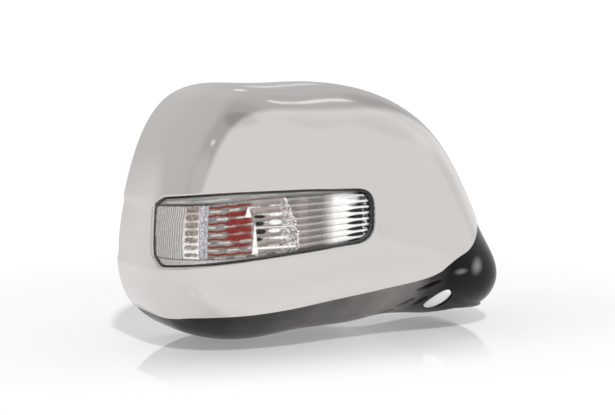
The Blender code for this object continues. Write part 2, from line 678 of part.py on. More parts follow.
def make_gimbal():
    """The ring between the case and the glass, with two upright pins and two level ones."""
    ring = flat_ring("gimbal_ring", 7.2, 10.5, -2.2, 2.2, steps=28)
    ring.data.transform(Matrix.Rotation(pi / 2, 4, "X"))
    ring.data.transform(Matrix.Translation(SWIVEL * MM))
    for direction in ((0, 0, 1), (0, 0, -1), (1, 0, 0), (-1, 0, 0)):
        reach = Vector(direction)
        join(ring, cylinder("pin", SWIVEL + reach * 9, SWIVEL + reach * PIN_REACH, PIN_RADIUS, sides=12))
    return ring


def make_plunger(name, at):
    """A plunger whose ball end pushes the carrier."""
    rod = cylinder(name, (at.x, PLUNGER_END_Y, at.z), at, PLUNGER_RADIUS, sides=14)
    bm = bmesh.new()
    bmesh.ops.create_uvsphere(bm, u_segments=14, v_segments=8, radius=BALL_RADIUS)
    bmesh.ops.translate(bm, vec=at, verts=bm.verts)
    return join(rod, from_bmesh("ball", bm))


def make_adjuster():
    pieces = make_adjuster_case()
    pieces.append(make_gimbal())
    for name, at, toward, along in (
        ("tilt", TILT_AT, Vector((0, 0, 1)), Vector((1, 0, 0))),
        ("pan", PAN_AT, Vector((1, 0, 0)), Vector((0, 0, 1))),
    ):
        centre = Vector((at.x, WHEEL_Y, at.z))
        bore, rearward = PLUNGER_RADIUS + 0.5, Vector((0, 1, 0))
        gear = wheel(f"{name}_wheel", ADJUST_TEETH, -2.0, 2.0, bore, centre, rearward)
        line = centre + toward * WORM_OFFSET
        shaft_end = ADJUST_MOTOR_START + SHAFT_INTO_MOTOR
        drive = worm(f"{name}_worm", line, along, -toward, WORM_LENGTH, shaft_end)
        can = motor(
            f"{name}_motor", line, along, ADJUST_MOTOR_START, ADJUST_MOTOR_LENGTH, ADJUST_MOTOR_RADIUS
        )
        pieces += [gear, drive, can, make_plunger(f"{name}_plunger", at)]
    return pieces


def make_glass():
    """Glass, heater foil and carrier, which turn together."""
    rear = GLASS_REAR_Y
    glass = loft("mirror_glass", [
        ring_at(rear - GLASS_THICK, glass_radius, 0.0), ring_at(rear, glass_radius, 0.0),
    ])
    foil_rear = rear - GLASS_THICK - GAP
    foil = loft("heater_foil", [
        ring_at(foil_rear - HEATER_THICK, glass_radius, -HEATER_INSET),
        ring_at(foil_rear, glass_radius, -HEATER_INSET),
    ])
    back = foil_rear - HEATER_THICK - GAP
    front = back - CARRIER_THICK
    carrier = loft("glass_carrier", [
        ring_at(back, glass_radius, GAP),
        ring_at(rear - CARRIER_RIM_BACK, glass_radius, GAP),
        ring_at(rear - CARRIER_RIM_BACK, glass_radius, CARRIER_RIM),
        ring_at(front, glass_radius, CARRIER_RIM),
        ring_at(front, glass_radius, -1.0),
    ])
    for at in (PAN_AT, TILT_AT):
        join(carrier, cylinder("cup", (at.x, at.y - 2, at.z), (at.x, front + 1, at.z), 6.4, sides=20))
        cut(carrier, cylinder("socket", (at.x, 0, at.z), (at.x, at.y + 5, at.z), 4.6, sides=16))
    cx, cy, cz = SWIVEL
    for x in (cx - EAR_AT, cx + EAR_AT):
        join(carrier, box("ear", (x - 2.5, cy - 3.4, cz - 3.5), (x + 2.5, front + 1, cz + 3.5)))
    reach = Vector((PIN_BORE_REACH, 0, 0))
    cut(carrier, cylinder("pin_bore", SWIVEL - reach, SWIVEL + reach, PIN_BORE, sides=12))
    return [glass, foil, carrier]


# ---------------------------------------------------------------- frame
def make_frame():
    """The plate that carries the covers, the adjuster and the lamp, and bolts to the fold unit."""
    half, corner = FRAME_WINDOW_HALF, FRAME_WINDOW_CORNER
    window = rounded_rectangle(SWIVEL.x, SWIVEL.z, half, half, corner)
    frame = plate("inner_frame", FRAME_OUTLINE, FRAME_Y, FRAME_REAR_Y, [window[::-1]])
    rim = plate("rim", FRAME_OUTLINE, FRAME_REAR_Y - 1, FRAME_REAR_Y + FRAME_RIM)
    inner = [
        (FORM_X + (x - FORM_X) * RIM_SHARE_X, FORM_Z + (z - FORM_Z) * RIM_SHARE_Z) for x, z in FRAME_OUTLINE
    ]
    cut(rim, plate("rim_hollow", inner, FRAME_REAR_Y - 3, FRAME_REAR_Y + FRAME_RIM + 4))
    join(frame, rim)
    for x, z in adjuster_screws():
        pad_rear = ADJUSTER_FRONT_Y - GAP
        join(frame, cylinder("pad", (x, FRAME_REAR_Y - 1, z), (x, pad_rear, z), 5.0, sides=14))
        cut(frame, frame_hole(x, z, ADJUSTER_SCREW_HOLE))
    for x, z in COVER_BOSSES + FOLD_SCREWS:
        cut(frame, frame_hole(x, z, SCREW_HOLE))
    return cut(frame, frame_hole(BULB[0], BULB[2], FRAME_HOLDER_HOLE))


def frame_hole(x, z, radius):
    """A cutter for a round hole through the frame."""
    low, high = THROUGH_FRAME
    return cylinder("hole", (x, low, z), (x, high, z), radius, sides=12)


# ---------------------------------------------------------------- fold unit
def make_pivot_base():
    """The fixed base: a flange for the door's bracket and the hollow post that the head turns on."""
    base = turned("pivot_base", [
        (FLANGE_RADIUS, FLANGE_THICK), (FLANGE_RADIUS, 0), (POST_BORE, 0), (POST_BORE, POST_TOP),
        (POST_RADIUS, POST_TOP), (POST_RADIUS, COLLAR_TOP), (COLLAR_RADIUS, COLLAR_TOP),
        (COLLAR_RADIUS, FLANGE_THICK),
    ], steps=40)
    for k in range(3):
        angle = radians(90 + 120 * k)
        x, y = BOLT_CIRCLE * cos(angle), BOLT_CIRCLE * sin(angle)
        cut(base, cylinder("bolt_hole", (x, y, -5), (x, y, 20), BOLT_HOLE, sides=14))
    return base


def make_fold_unit():
    base = make_pivot_base()
    low = COLLAR_TOP + GAP
    washer = flat_ring("thrust_washer", RING_BORE, WASHER_RADIUS, low, low + WASHER_THICK)
    half, middle = FOLD_WHEEL_HALF, Vector((0, 0, FOLD_WHEEL_Z))
    gear = wheel("fold_wheel", FOLD_TEETH, -half, half, POST_RADIUS + GAP, middle, Vector((0, 0, 1)))
    spring = make_spring(FOLD_WHEEL_Z + half + GAP, SPRING_TOP)
    spring_cap = flat_ring("spring_cap", RING_BORE, 12.5, SPRING_TOP + GAP, SPRING_TOP + 1.6)
    clip = flat_ring("retaining_clip", POST_RADIUS + GAP, CLIP_RADIUS, CLIP_LOW, CLIP_HIGH)
    cut(clip, box("clip_gap", (-3, 0, CLIP_LOW - 10), (3, CLIP_RADIUS + 4, CLIP_HIGH + 10)))
    case = make_fold_case()
    cap = flat_ring("fold_cap", POST_RADIUS + 0.6, FOLD_CASE_RADIUS, FOLD_CASE_TOP + GAP, FOLD_CASE_TOP + 2.8)
    line, along = Vector((0, -FOLD_WORM_OFFSET, FOLD_WHEEL_Z)), Vector((-1, 0, 0))
    shaft_end = FOLD_MOTOR_START + SHAFT_INTO_MOTOR
    drive = worm("fold_worm", line, along, Vector((0, 1, 0)), WORM_LENGTH, shaft_end)
    can = motor("fold_motor", line, along, FOLD_MOTOR_START, FOLD_MOTOR_LENGTH, FOLD_MOTOR_RADIUS)
    return [base, washer, gear, spring, spring_cap, clip, case, cap, drive, can]


def make_spring(low, high):
    """The coil spring that presses the detents together."""
    start, end = low + SPRING_WIRE + GAP, high - SPRING_WIRE - GAP
    steps = int(SPRING_TURNS * SPRING_POINTS_A_TURN)
    line = []
    for k in range(steps + 1):
        angle = tau * k / SPRING_POINTS_A_TURN
        z = start + (end - start) * k / steps
        line.append(Vector((SPRING_RADIUS * cos(angle), SPRING_RADIUS * sin(angle), z)))
    return round_wire("clutch_spring", line, SPRING_WIRE, 1)


def make_fold_case():
    """The turning case of the fold unit, with a pod for the worm's motor and a lug for the frame."""
    low, top, wall = FOLD_CASE_LOW, FOLD_CASE_TOP, FOLD_CASE_WALL
    case = cylinder("fold_case", (0, 0, low), (0, 0, top), FOLD_CASE_RADIUS, sides=32)
    pod = Vector((0, -FOLD_WORM_OFFSET, FOLD_WHEEL_Z))
    left = -(FOLD_MOTOR_START + FOLD_MOTOR_LENGTH + 2.6)
    size = Vector((0, POD_HALF, POD_HALF))
    left_end, right_end = Vector((left, 0, 0)), Vector((POD_RIGHT, 0, 0))
    join(case, box("pod", pod - size + left_end, pod + size + right_end))
    lug_rear, lug_low = FRAME_Y - GAP, FOLD_WHEEL_Z + POD_HALF
    low_corner = (left, lug_rear - LUG_THICK, lug_low - 2)
    join(case, box("lug", low_corner, (LUG_RIGHT, lug_rear, lug_low + LUG_HEIGHT)))
    thick = Vector((POD_WALL, POD_WALL, POD_WALL))
    cut(case, box("pod_hollow", pod - size + left_end + thick, pod + size + right_end - thick))
    cut(case, cylinder("hollow", (0, 0, low + wall), (0, 0, top + 5), FOLD_CASE_RADIUS - wall, sides=32))
    cut(case, cylinder("post_hole", (0, 0, 0), (0, 0, low + 5), POST_RADIUS + 0.5, sides=32))
    for x, z in FOLD_SCREWS:
        cut(case, cylinder("hole", (x, FRAME_Y - 7, z), (x, 12, z), 1.7, sides=12))
    return case


# ---------------------------------------------------------------- fasteners and leads
def screw(name, head_at, direction, length, radius, head=3.3):
    """A pan-head screw; head_at is the underside of its head."""
    head_at, direction = Vector(head_at), Vector(direction)
    shank = cylinder(name, head_at - direction * 0.2, head_at + direction * length, radius, sides=10)
    return join(shank, cylinder("head", head_at, head_at - direction * 2.2, head, head * 0.75, sides=14))


def make_screws():
    made = []
    for word, places, seat, length, radius in (
        ("cover", COVER_BOSSES, FRAME_REAR_Y, 14, 1.5),
        ("adjuster", adjuster_screws(), ADJUSTER_REAR_Y, 22, 1.5),
        ("fold", FOLD_SCREWS, FRAME_REAR_Y, 9, 1.4),
    ):
        for number, (x, z) in enumerate(places, 1):
            made.append(screw(f"{word}_screw_{number}", (x, seat + GAP, z), (0, -1, 0), length, radius))
    return made


def round_wire(name, line, radius, roundness):
    """A round bar along a line of points, closed at both ends."""
    curve = bpy.data.curves.new(name, "CURVE")
    curve.dimensions = "3D"
    curve.bevel_depth = radius * MM
    curve.bevel_resolution = roundness
    curve.use_fill_caps = True
    spline = curve.splines.new("POLY")
    spline.points.add(len(line) - 1)
    for point, place in zip(spline.points, line):
        point.co = (*(place * MM), 1)
    return as_mesh(new_object(name, curve))


def lead(name, points):
    """An insulated lead along a smooth line through the points."""
    return round_wire(name, smooth_line([Vector(p) for p in points], LEAD_STEPS), LEAD_RADIUS, 2)


def smooth_line(points, steps):
    """Points along a Catmull-Rom curve."""
    padded = [points[0] * 2 - points[1], *points, points[-1] * 2 - points[-2]]
    line = []
    for a, b, c, d in zip(padded, padded[1:], padded[2:], padded[3:]):
        for k in range(steps):
            t = k / steps
            square, cube = (2 * a - 5 * b + 4 * c - d) * t**2, (3 * b - a - 3 * c + d) * t**3
            line.append(0.5 * (2 * b + (c - a) * t + square + cube))
    return line + [points[-1]]


def make_leads():
    x, y, z = BULB
    holder_end = y + BULB_HALF + HOLDER_LENGTH
    plug = box("head_connector", *PLUG, 0.8, 1)
    plug_top = PLUG[1][2] + GAP
    lamp = lead("lamp_lead", [
        (x, holder_end + GAP, z), (x, -2.6, z + 0.6), (x + 1, 0.8, z + 8), (x + 18, 1.2, 115),
        (-148, 1.2, 125), (-106, 1.2, 127), (-82, 1.4, 125.5), (-73.5, 1.6, 121), (-72.5, 1.6, plug_top),
    ])
    motors = lead("adjuster_lead", [
        (-100, ADJUSTER_REAR_Y + GAP, 109), (-100, 20, 109.6), (-98, 20, 119), (-86, 13, 124.5),
        (-68, 4, 125), (-64.5, 1.8, 120.5), (-64, 1.6, plug_top),
    ])
    return [plug, lamp, motors]


# ---------------------------------------------------------------- materials and assembly
FINISHES = {
    "chrome": ((0.80, 0.79, 0.78), 0.06, 1.0),
    "black_plastic": ((0.020, 0.020, 0.021), 0.28, 0.0),
    "dark_plastic": ((0.045, 0.045, 0.047), 0.5, 0.0),
    "grey_plastic": ((0.30, 0.31, 0.32), 0.5, 0.0),
    "clear": ((0.93, 0.94, 0.95), 0.04, 0.0),
    "amber": ((0.62, 0.10, 0.02), 0.1, 0.0),
    "mirror": ((0.90, 0.92, 0.93), 0.01, 1.0),
    "rubber": ((0.03, 0.03, 0.03), 0.8, 0.0),
    "steel": ((0.56, 0.57, 0.58), 0.3, 1.0),
    "die_cast": ((0.48, 0.49, 0.50), 0.45, 1.0),
    "nylon": ((0.82, 0.81, 0.76), 0.45, 0.0),
    "foil": ((0.55, 0.40, 0.18), 0.5, 0.0),
}
FINISH_OF = {
    "chrome_cover": "chrome", "lamp_reflector": "chrome", "lower_cover": "black_plastic",
    "glass_bezel": "black_plastic", "lamp_lens": "clear", "puddle_lens": "clear", "lamp_bulb": "amber",
    "lamp_seal": "rubber", "mirror_glass": "mirror", "heater_foil": "foil", "pivot_base": "die_cast",
    "inner_frame": "dark_plastic", "puddle_diode": "amber", "fold_case": "die_cast", "clutch_spring": "steel",
    "spring_cap": "steel", "retaining_clip": "steel", "head_connector": "grey_plastic",
}
FINISH_BY_WORD = (
    ("motor", "steel"), ("worm", "steel"), ("screw", "steel"), ("wheel", "nylon"), ("plunger", "nylon"),
    ("washer", "nylon"), ("gimbal", "nylon"), ("lead", "rubber"),
)


def material_for(name):
    """The piece's own Principled material, in its finish."""
    finish = FINISH_OF.get(name)
    if finish is None:
        finish = next((f for word, f in FINISH_BY_WORD if word in name), "dark_plastic")
    colour, roughness, metallic = FINISHES[finish]
    made = bpy.data.materials.new(name)
    made.use_nodes = True
    shader = made.node_tree.nodes["Principled BSDF"]
    shader.inputs["Base Color"].default_value = (*colour, 1)
    shader.inputs["Roughness"].default_value = roughness
    shader.inputs["Metallic"].default_value = metallic
    if finish == "clear":
        shader.inputs["Transmission Weight"].default_value = 0.95
    return made


BODIES = {  # body: (body it hangs on, where its joint is, the pieces it is made of)
    "base": (None, (0, 0, 0), (
        "pivot_base", "thrust_washer", "fold_wheel", "clutch_spring", "spring_cap", "retaining_clip")),
    "head": ("base", (0, 0, 0), None),
    "gimbal": ("head", tuple(SWIVEL), ("gimbal_ring",)),
    "glass": ("gimbal", tuple(SWIVEL), ("mirror_glass", "heater_foil", "glass_carrier")),
    "tilt_plunger": ("head", tuple(TILT_AT), ("tilt_plunger",)),
    "tilt_wheel": ("head", (TILT_AT.x, WHEEL_Y, TILT_AT.z), ("tilt_wheel",)),
    "tilt_worm": ("head", (TILT_AT.x, WHEEL_Y, TILT_AT.z + WORM_OFFSET), ("tilt_worm",)),
    "pan_plunger": ("head", tuple(PAN_AT), ("pan_plunger",)),
    "pan_wheel": ("head", (PAN_AT.x, WHEEL_Y, PAN_AT.z), ("pan_wheel",)),
    "pan_worm": ("head", (PAN_AT.x + WORM_OFFSET, WHEEL_Y, PAN_AT.z), ("pan_worm",)),
    "fold_worm": ("head", (0, -FOLD_WORM_OFFSET, FOLD_WHEEL_Z), ("fold_worm",)),
}


def assemble(pieces):
    """Hangs every piece on its body's empty, puts all in one collection and gives each its finish."""
    group = bpy.data.collections.new(COLLECTION)
    bpy.context.scene.collection.children.link(group)
    placed = {name for _, _, names in BODIES.values() if names for name in names}
    empties = {}
    for body, (parent, place, names) in BODIES.items():
        empty = bpy.data.objects.new(f"{body}_joint", None)
        empty.empty_display_size = 10 * MM
        group.objects.link(empty)
        empties[body] = empty
        origin = Vector(place) * MM
        empty.location = origin
        if parent:
            empty.parent = empties[parent]
            empty.location = origin - Vector(BODIES[parent][1]) * MM
        members = names if names else [p.name for p in pieces if p.name not in placed]
        for name in members:
            piece = bpy.data.objects[name]
            piece.data.transform(Matrix.Translation(-origin))
            piece.parent = empty
    for piece in pieces:
        bpy.context.scene.collection.objects.unlink(piece)
        group.objects.link(piece)
        piece.data.materials.clear()
        piece.data.materials.append(material_for(piece.name))
        piece.data.shade_smooth()
        piece.data.set_sharp_from_angle(angle=SHARP_EDGE)


def main():
    for old in list(bpy.data.objects):
        bpy.data.objects.remove(old)
    pieces = [make_chrome_cover(), make_lower_cover(), make_bezel(), make_frame()]
    pieces += make_lamp() + make_puddle_lamp() + make_adjuster() + make_glass()
    pieces += make_fold_unit() + make_screws() + make_leads()
    assemble(pieces)


main()
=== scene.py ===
"""The looks of the car side mirror: its fine outer shells, the lamp's optics, finishes, light and camera.

Shapes are worked out in millimetres, in the row frame, and turned into metres as meshes are made.
"""

import json
from math import cos, pi, radians, sin, tau

import bmesh
import bpy
import numpy as np
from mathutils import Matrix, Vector


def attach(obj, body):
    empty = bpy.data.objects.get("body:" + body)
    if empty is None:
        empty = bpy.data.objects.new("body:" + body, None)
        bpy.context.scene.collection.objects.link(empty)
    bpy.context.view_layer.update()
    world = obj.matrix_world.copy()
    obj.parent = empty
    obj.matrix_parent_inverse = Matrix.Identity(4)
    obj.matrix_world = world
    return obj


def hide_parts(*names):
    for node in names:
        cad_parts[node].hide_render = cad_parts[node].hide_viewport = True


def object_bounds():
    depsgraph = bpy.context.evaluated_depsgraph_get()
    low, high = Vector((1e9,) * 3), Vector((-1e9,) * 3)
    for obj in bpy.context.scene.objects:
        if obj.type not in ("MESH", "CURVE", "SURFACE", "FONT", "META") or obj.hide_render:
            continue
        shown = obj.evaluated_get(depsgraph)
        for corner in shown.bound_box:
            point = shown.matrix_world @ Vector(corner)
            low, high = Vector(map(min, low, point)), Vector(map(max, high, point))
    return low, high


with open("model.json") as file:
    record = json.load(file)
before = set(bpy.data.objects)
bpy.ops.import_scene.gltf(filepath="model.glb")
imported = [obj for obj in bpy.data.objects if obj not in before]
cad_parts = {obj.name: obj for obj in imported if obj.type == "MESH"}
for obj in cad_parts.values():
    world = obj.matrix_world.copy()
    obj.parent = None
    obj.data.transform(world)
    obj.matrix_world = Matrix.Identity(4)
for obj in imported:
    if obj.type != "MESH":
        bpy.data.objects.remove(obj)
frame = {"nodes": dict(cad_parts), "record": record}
cad_low, cad_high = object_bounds()
cad_middle = (cad_low + cad_high) / 2

MM = 0.001
GAP = 0.3  # between pieces that touch

# ---- the head's outer form, as in the CAD ----
FORM_X, FORM_Z = -115.0, 78.0
REAR_Y = 46.0
FORM_DEPTH = 106.0
RIM = (
    (42, 18), (32, 45), (21, 68), (6, 98), (-20, 135), (-60, 159), (-110, 165.5), (-160, 165),
    (-203, 158), (-227, 128), (-240, 86), (-245, 46), (-236, 13), (-206, -9), (-150, -13.5),
    (-80, -11), (-20, -9.5), (22, -8), (38, 3),
)
CORNERING = ((0, 2.9), (90, 2.7), (180, 4.0), (270, 2.8))
SPLIT_LINE = (
    (-262, 30), (-243, 19), (-236, 12.5), (-231, 8), (-226, 9), (-221, 10.8), (-209, 11.9), (-185, 13),
    (-150, 16), (-100, 21.5), (-69, 25.8), (-52, 29.5), (-42, 33), (-36, 37), (-27, 42), (-15, 46.5),
    (-5, 53), (3, 60.5), (15, 69), (55, 83),
)
COVER_WALL, LOWER_STEP, LOWER_WALL = 3.0, 1.0, 2.5
AROUND, RINGS = 320, 96  # facets round the form, and from its front centre to its rim
KNOB_CENTRE, KNOB_FROM = (14, -20, 25), (-12, 8, 37)
KNOB_RISE, KNOB_SPREAD = 3.5, 15.0
CHANNEL_DEPTH = 1.2
CHANNEL_FOOT, CHANNEL_TOP = (44.0, 48.5), (83.5, 87.5)  # z over which its sides slope
CHANNEL_FRONT, CHANNEL_SIDE = (-24, -12), (190, 205)  # y and -x over which it begins

# ---- lamp ----
LAMP_CORNERS = (  # outline unrolled from the form: (distance along it, height, reach of the rounding)
    (-43.8, 94.3, 11), (-60, 95.4, 4), (-100, 96.3, 18), (-150, 95.7, 20), (-182, 93.4, 12),
    (-203, 91.4, 3.5), (-214.5, 85.5, 2.5), (-211.5, 72, 6), (-209, 52.5, 1.5), (-200, 45.4, 3),
    (-170, 47.6, 12), (-122, 51.9, 20), (-74, 56.3, 16), (-43.8, 59.0, 13),
)
LAMP_LIP = 1.6  # radius of the rolled edge of the cover round the lamp
RAYS_FROM = (-170.0, 10.0)  # the lamp's surface is swept by level rays from here
WALK_Z = 72.0  # and distances along it are measured at this height
LAMP_SPACE = (-7.0, 9.0)  # depths between which the cover is cut open for it
RIM_DEPTH = 3.4
LENS_INSET, LENS_FRONT, LENS_BACK, LENS_ROUNDING = 0.35, 0.5, 3.0, 1.6
TRAY_FRONT, TRAY_BACK, TRAY_WALL, TRAY_FLOOR = 3.2, 14.0, 1.0, 12.5
OPTICS_INSET, OPTICS_BACK, OPTICS_STEPS = 1.1, 12.2, (0.45, 0.35)

# ---- puddle lamp and slots ----
PUDDLE_AT, PUDDLE_OUT = (-32.6, -35.4, 9.3), (-0.06, -0.61, -0.79)
PUDDLE_LONG, PUDDLE_SHORT = (6.0, -8.6, 6.2), (5.6, 5.2, -4.5)
PUDDLE_SEAT = -3.4
SLOTS = (
    ((-61.3, -26.5, 5.0), (-53.7, -38.5, 12.7), 5.2),
    ((-49.5, -29.0, 5.9), (-43.6, -41.0, 13.8), 4.8),
    ((-70.0, -18.0, 0.2), (-58.7, -20.5, 2.0), 3.4),
    ((-56.0, -45.0, 19.2), (-38.5, -50.2, 26.4), 4.8),
)
SLOT_REACH = 9.0

# ---- mirror glass ----
GLASS = (
    (-15, 58), (-18, 98), (-38, 127), (-70, 144), (-115, 151), (-160, 150.5), (-192, 144), (-213, 120),
    (-225, 84), (-229, 48), (-219, 23), (-194, 7), (-150, 2), (-90, 3), (-46, 9), (-23, 27),
)
GLASS_REAR_Y, GLASS_THICK, GLASS_MARGIN = 40.0, 2.0, 5.0
BEZEL_REAR_Y, BEZEL_WALL_FRONT_Y, BEZEL_WALL = 48.5, 34.3, 2.0
PIVOT_HOLE = 24.2

# ---- the lamp's optics, in flat millimetres from the outer end (low x) to the inner end ----
ROW_TOPS = ((-212, 85.3), (-170, 87.5), (-125, 91.0), (-60, 92.6), (-40, 92.6))  # x, height
ROW_FEET = ((-212, 51.5), (-150, 51.6), (-110, 54.4), (-45, 60.2))
LEFT_ROWS, FLUTES = 7, 8
RIBS_END, BARS_END, SPARKLE_END, RED_START = -182.0, -170.5, -166.5, -164.5
# x where the painted red reflection of the bulb grows strong and ends, and where the blocks end
RED_STRONG, RED_END, BLOCKS_END = -151.0, -133.0, -96.0
# x over which the flutes carry dark painted streak reflections
STREAKS_START, STREAKS_END = -62.0, -43.0
ZIGZAG = ((58, -99.7), (68, -99.9), (76.5, -102.2), (85, -106.5), (91, -109.0))  # height, x
RIB_SPACING, PRISM, GRAIN = 2.05, 1.6, 0.8
RIBS_DEPTH, PRISMS_DEPTH, BARS_DEPTH, ROWS_DEPTH, EDGE_DEPTH = 3.9, 5.0, 5.2, 6.6, 3.4
DARK_SPOT_REFLECTIONS = (  # painted dark reflections: x, height, half length, half height
    (-127.5, 79.3, 4.2, 1.2), (-128.0, 74.6, 3.8, 1.5), (-127.0, 69.2, 4.2, 1.7), (-128.5, 64.2, 3.4, 1.2),
)
# painted white highlights on the blocks: x, height, half length, half height
WHITE_BLOCK_HIGHLIGHTS = (
    (-116, 80.6, 5.0, 1.2), (-116, 75.3, 4.6, 1.7), (-117, 69.8, 4.4, 1.3), (-114, 64.8, 6.5, 0.9),
)
# a painted white highlight on the flutes: x, height, half length, half height
FLUTE_HIGHLIGHT = (-63.0, 88.5, 9.5, 5.2)
# the amber bulb's painted red reflection, its wide part and its core: x, height, half length, half height
BULB_RED_REFLECTION, BULB_RED_REFLECTION_CORE = (-141.5, 73.0, 12, 12), (-141.5, 70.0, 9, 6)
HIGHLIGHT_LINES = ((71.7, 72.4), (57.6, 58.9))  # painted highlight lines: lowest and highest z
# x spans of the stripes on the blocks, their scattered painted white glints, the painted highlight lines and
# the scattered painted glints at the flutes' inner end
BLOCK_STRIPES, BLOCK_GLINTS, LINES_SPAN, END_GLINTS = (-124, -98), (-112, -100), (-131, -101), (-50.5, -47)
# x over which the flutes turn to a painted white highlight, the dark painted streaks widen, the painted
# shade at the upper bevel's foot fades out and the painted shade along the border grows at the inner end
PALE_FROM, STREAKS_SWELL, BEVEL_DARK, DARK_END = (-81, -70), (-64, -54), (-172, -150), (-57, -47)
PINK_FLUTES = (-100, -92, 0.35), (-81, -76, 0.3)
DARK_TOP = (85, 90), (-150, -110)  # height and x over which the painted shade along the border deepens
HIGHLIGHT_TRIANGLES = ((-135.5, 79.3, 86.5, 2.4), (-130.8, 54.0, 76.5, 2.2))  # painted highlight triangles: x, foot, top, half width

# ---- colours of the optics, most of them painted reflections, highlights and shade ----
WHITE, PALE, GREY = (1.0, 0.99, 0.98), (0.53, 0.51, 0.50), (0.31, 0.29, 0.28)
ROSY, LAVENDER, SMOKE = (0.25, 0.19, 0.175), (0.42, 0.42, 0.47), (0.15, 0.14, 0.135)
RED, DULL_RED, PINK = (0.24, 0.012, 0.006), (0.20, 0.035, 0.025), (0.55, 0.43, 0.42)
BLACK, CHARCOAL, ASH = (0.008, 0.007, 0.006), (0.05, 0.045, 0.04), (0.21, 0.195, 0.185)
CLOUD, FROST, SLATE = (0.40, 0.385, 0.375), (0.62, 0.61, 0.64), (0.24, 0.25, 0.33)
GRIME = (0.6, 0.58, 0.57)

# ---- finishes ----
MOULDED = {  # name: two tones, the range of its roughness and what else differs from a plain one
    "amber_bulb": ((0.60, 0.09, 0.02), (0.66, 0.14, 0.03), (0.05, 0.12), {"coat": 0.6}),
    "amber_diode": ((0.58, 0.42, 0.12), (0.66, 0.50, 0.18), (0.2, 0.3), {"coat": 0.5}),
    "seal_rubber": ((0.022, 0.022, 0.023), (0.032, 0.031, 0.03), (0.65, 0.8), {"grain": 1200}),
    "lead_sheath": ((0.02, 0.02, 0.021), (0.03, 0.03, 0.03), (0.5, 0.65), {"grain": 1200}),
    "heater_film": ((0.5, 0.34, 0.14), (0.58, 0.42, 0.2), (0.45, 0.6), {"grain": 400}),
    "die_casting": (
        (0.11, 0.11, 0.115), (0.15, 0.15, 0.155), (0.38, 0.55),
        {"metallic": 1.0, "grain": 1100, "height": 6e-5},
    ),
    "dark_plastic": (
        (0.035, 0.035, 0.037), (0.05, 0.05, 0.051), (0.42, 0.58), {"grain": 1600, "height": 3e-5},
    ),
    "grey_plastic": ((0.26, 0.27, 0.28), (0.32, 0.33, 0.34), (0.42, 0.58), {"grain": 1600, "height": 3e-5}),
    "nylon": ((0.74, 0.73, 0.68), (0.82, 0.81, 0.76), (0.38, 0.5), {"grain": 800}),
    "steel": (
        (0.50, 0.51, 0.52), (0.60, 0.61, 0.62), (0.22, 0.36),
        {"metallic": 1.0, "grain": 700, "stretch": (1, 1, 8)},
    ),
    "frosted_lens": (
        (0.80, 0.78, 0.765), (0.86, 0.84, 0.825), (0.18, 0.3), {"grain": 1000, "height": 4e-5, "coat": 0.6},
    ),
}
PLATED = {  # name: two tones, the range of its roughness and the height of its waves
    "bright_plating": ((0.655, 0.627, 0.606), (0.67, 0.642, 0.621), (0.07, 0.13), 2.2e-4),
    "mirror_coating": ((0.78, 0.80, 0.81), (0.80, 0.815, 0.82), (0.015, 0.03), 1e-6),
}
PATCHES = 45  # slow patches of tone in a metre
PAINTED_SHEEN_BY_X = (  # painted sheen of the black plastic by its x: brownish painted reflected light in the middle, dark at the ends
    (-260, 0.012), (-218, 0.02), (-205, 0.03), (-178, 0.06), (-150, 0.09), (-125, 0.125), (-100, 0.17),
    (-75, 0.23), (-60, 0.19), (-45, 0.03), (-30, 0.003), (45, 0.002),
)
PAINTED_SHEEN_TINT = (1.0, 0.95, 0.9)
KNOB_HIGHLIGHTS = (  # place, size and tone of the painted highlights on the knob
    ((-4.7, -44.5, 33.9), (9, 9, 9), 0.16), ((-21.5, -49.7, 31.6), (9, 9, 3.2), 0.14),
)

# ---- stage, in metres ----
FLOOR_Z = cad_low.z - 0.0005
FLOOR_RINGS = (0.02, 0.3, 0.6, 0.9, 1.2, 1.6)
AROUND_FLOOR, FLOOR_TONE, FLOOR_GLOW = 96, 0.38, 0.38
FLOOR_FADE = (0.22, 0.6)  # the floor melts into the room between these distances
SHEEN_CENTRE, SHEEN_SIZE = (-0.10, 0.02), (0.16, 0.075)  # the oval that the floor's gloss fades out from
SHEEN, SHEEN_FADE, SHEEN_GAIN = 0.30, (0.9, 2.2), 1.35
ROOM_AXIS = (0.553, -0.757, -0.347)
ROOM_PROFILE = (  # the room's light along that axis, from -1 to 1
    (-1.0, 0.72), (-0.7, 0.70), (-0.48, 0.57), (-0.25, 0.57), (-0.1, 0.96), (1.0, 0.96),
)
ROOM_FLOOR_LIGHT, ROOM_SEEN = 0.9, 1.05  # from below, and straight to the camera
ROOM_LAMPS = (  # direction, half-angle in degrees and strength; below 0 it is a dark flag
    ((0.5, 0.5, 0.7), 2.4, 0.6), ((-0.7, -0.3, 0.65), 2.2, 0.7), ((0.38, 0.79, 0.47), 1.6, 0.8),
    ((0.44, 0.86, 0.24), 1.6, 0.4), ((-0.5, 0.8, -0.3), 3.0, 0.4), ((0.6, 0.45, 0.65), 26.0, 0.08),
    ((0.72, 0.5, 0.48), 14.0, -0.13), ((-0.87, -0.3, 0.35), 12.0, 0.14),
    ((-0.12, -0.24, 0.96), 15.0, -0.15), ((0.71, 0.03, 0.71), 13.0, -0.10),
    ((-0.55, 0.8, -0.14), 18.0, 0.22), ((0.97, 0.2, 0.18), 9.0, -0.10),
)
KEY = (-0.90, -2.85, 3.36), 0.27, 215.0  # place from the middle of the mirror, size and watts
FILL = (0.9, -0.3, 1.2), 0.8, 1.0
CAMERA_AZIMUTH, CAMERA_ELEVATION, CAMERA_REACH, CAMERA_LENS = -27.0, 6.0, 1.02, 85
CAMERA_AIM = (-0.0200, 0.0005, 0.0021)


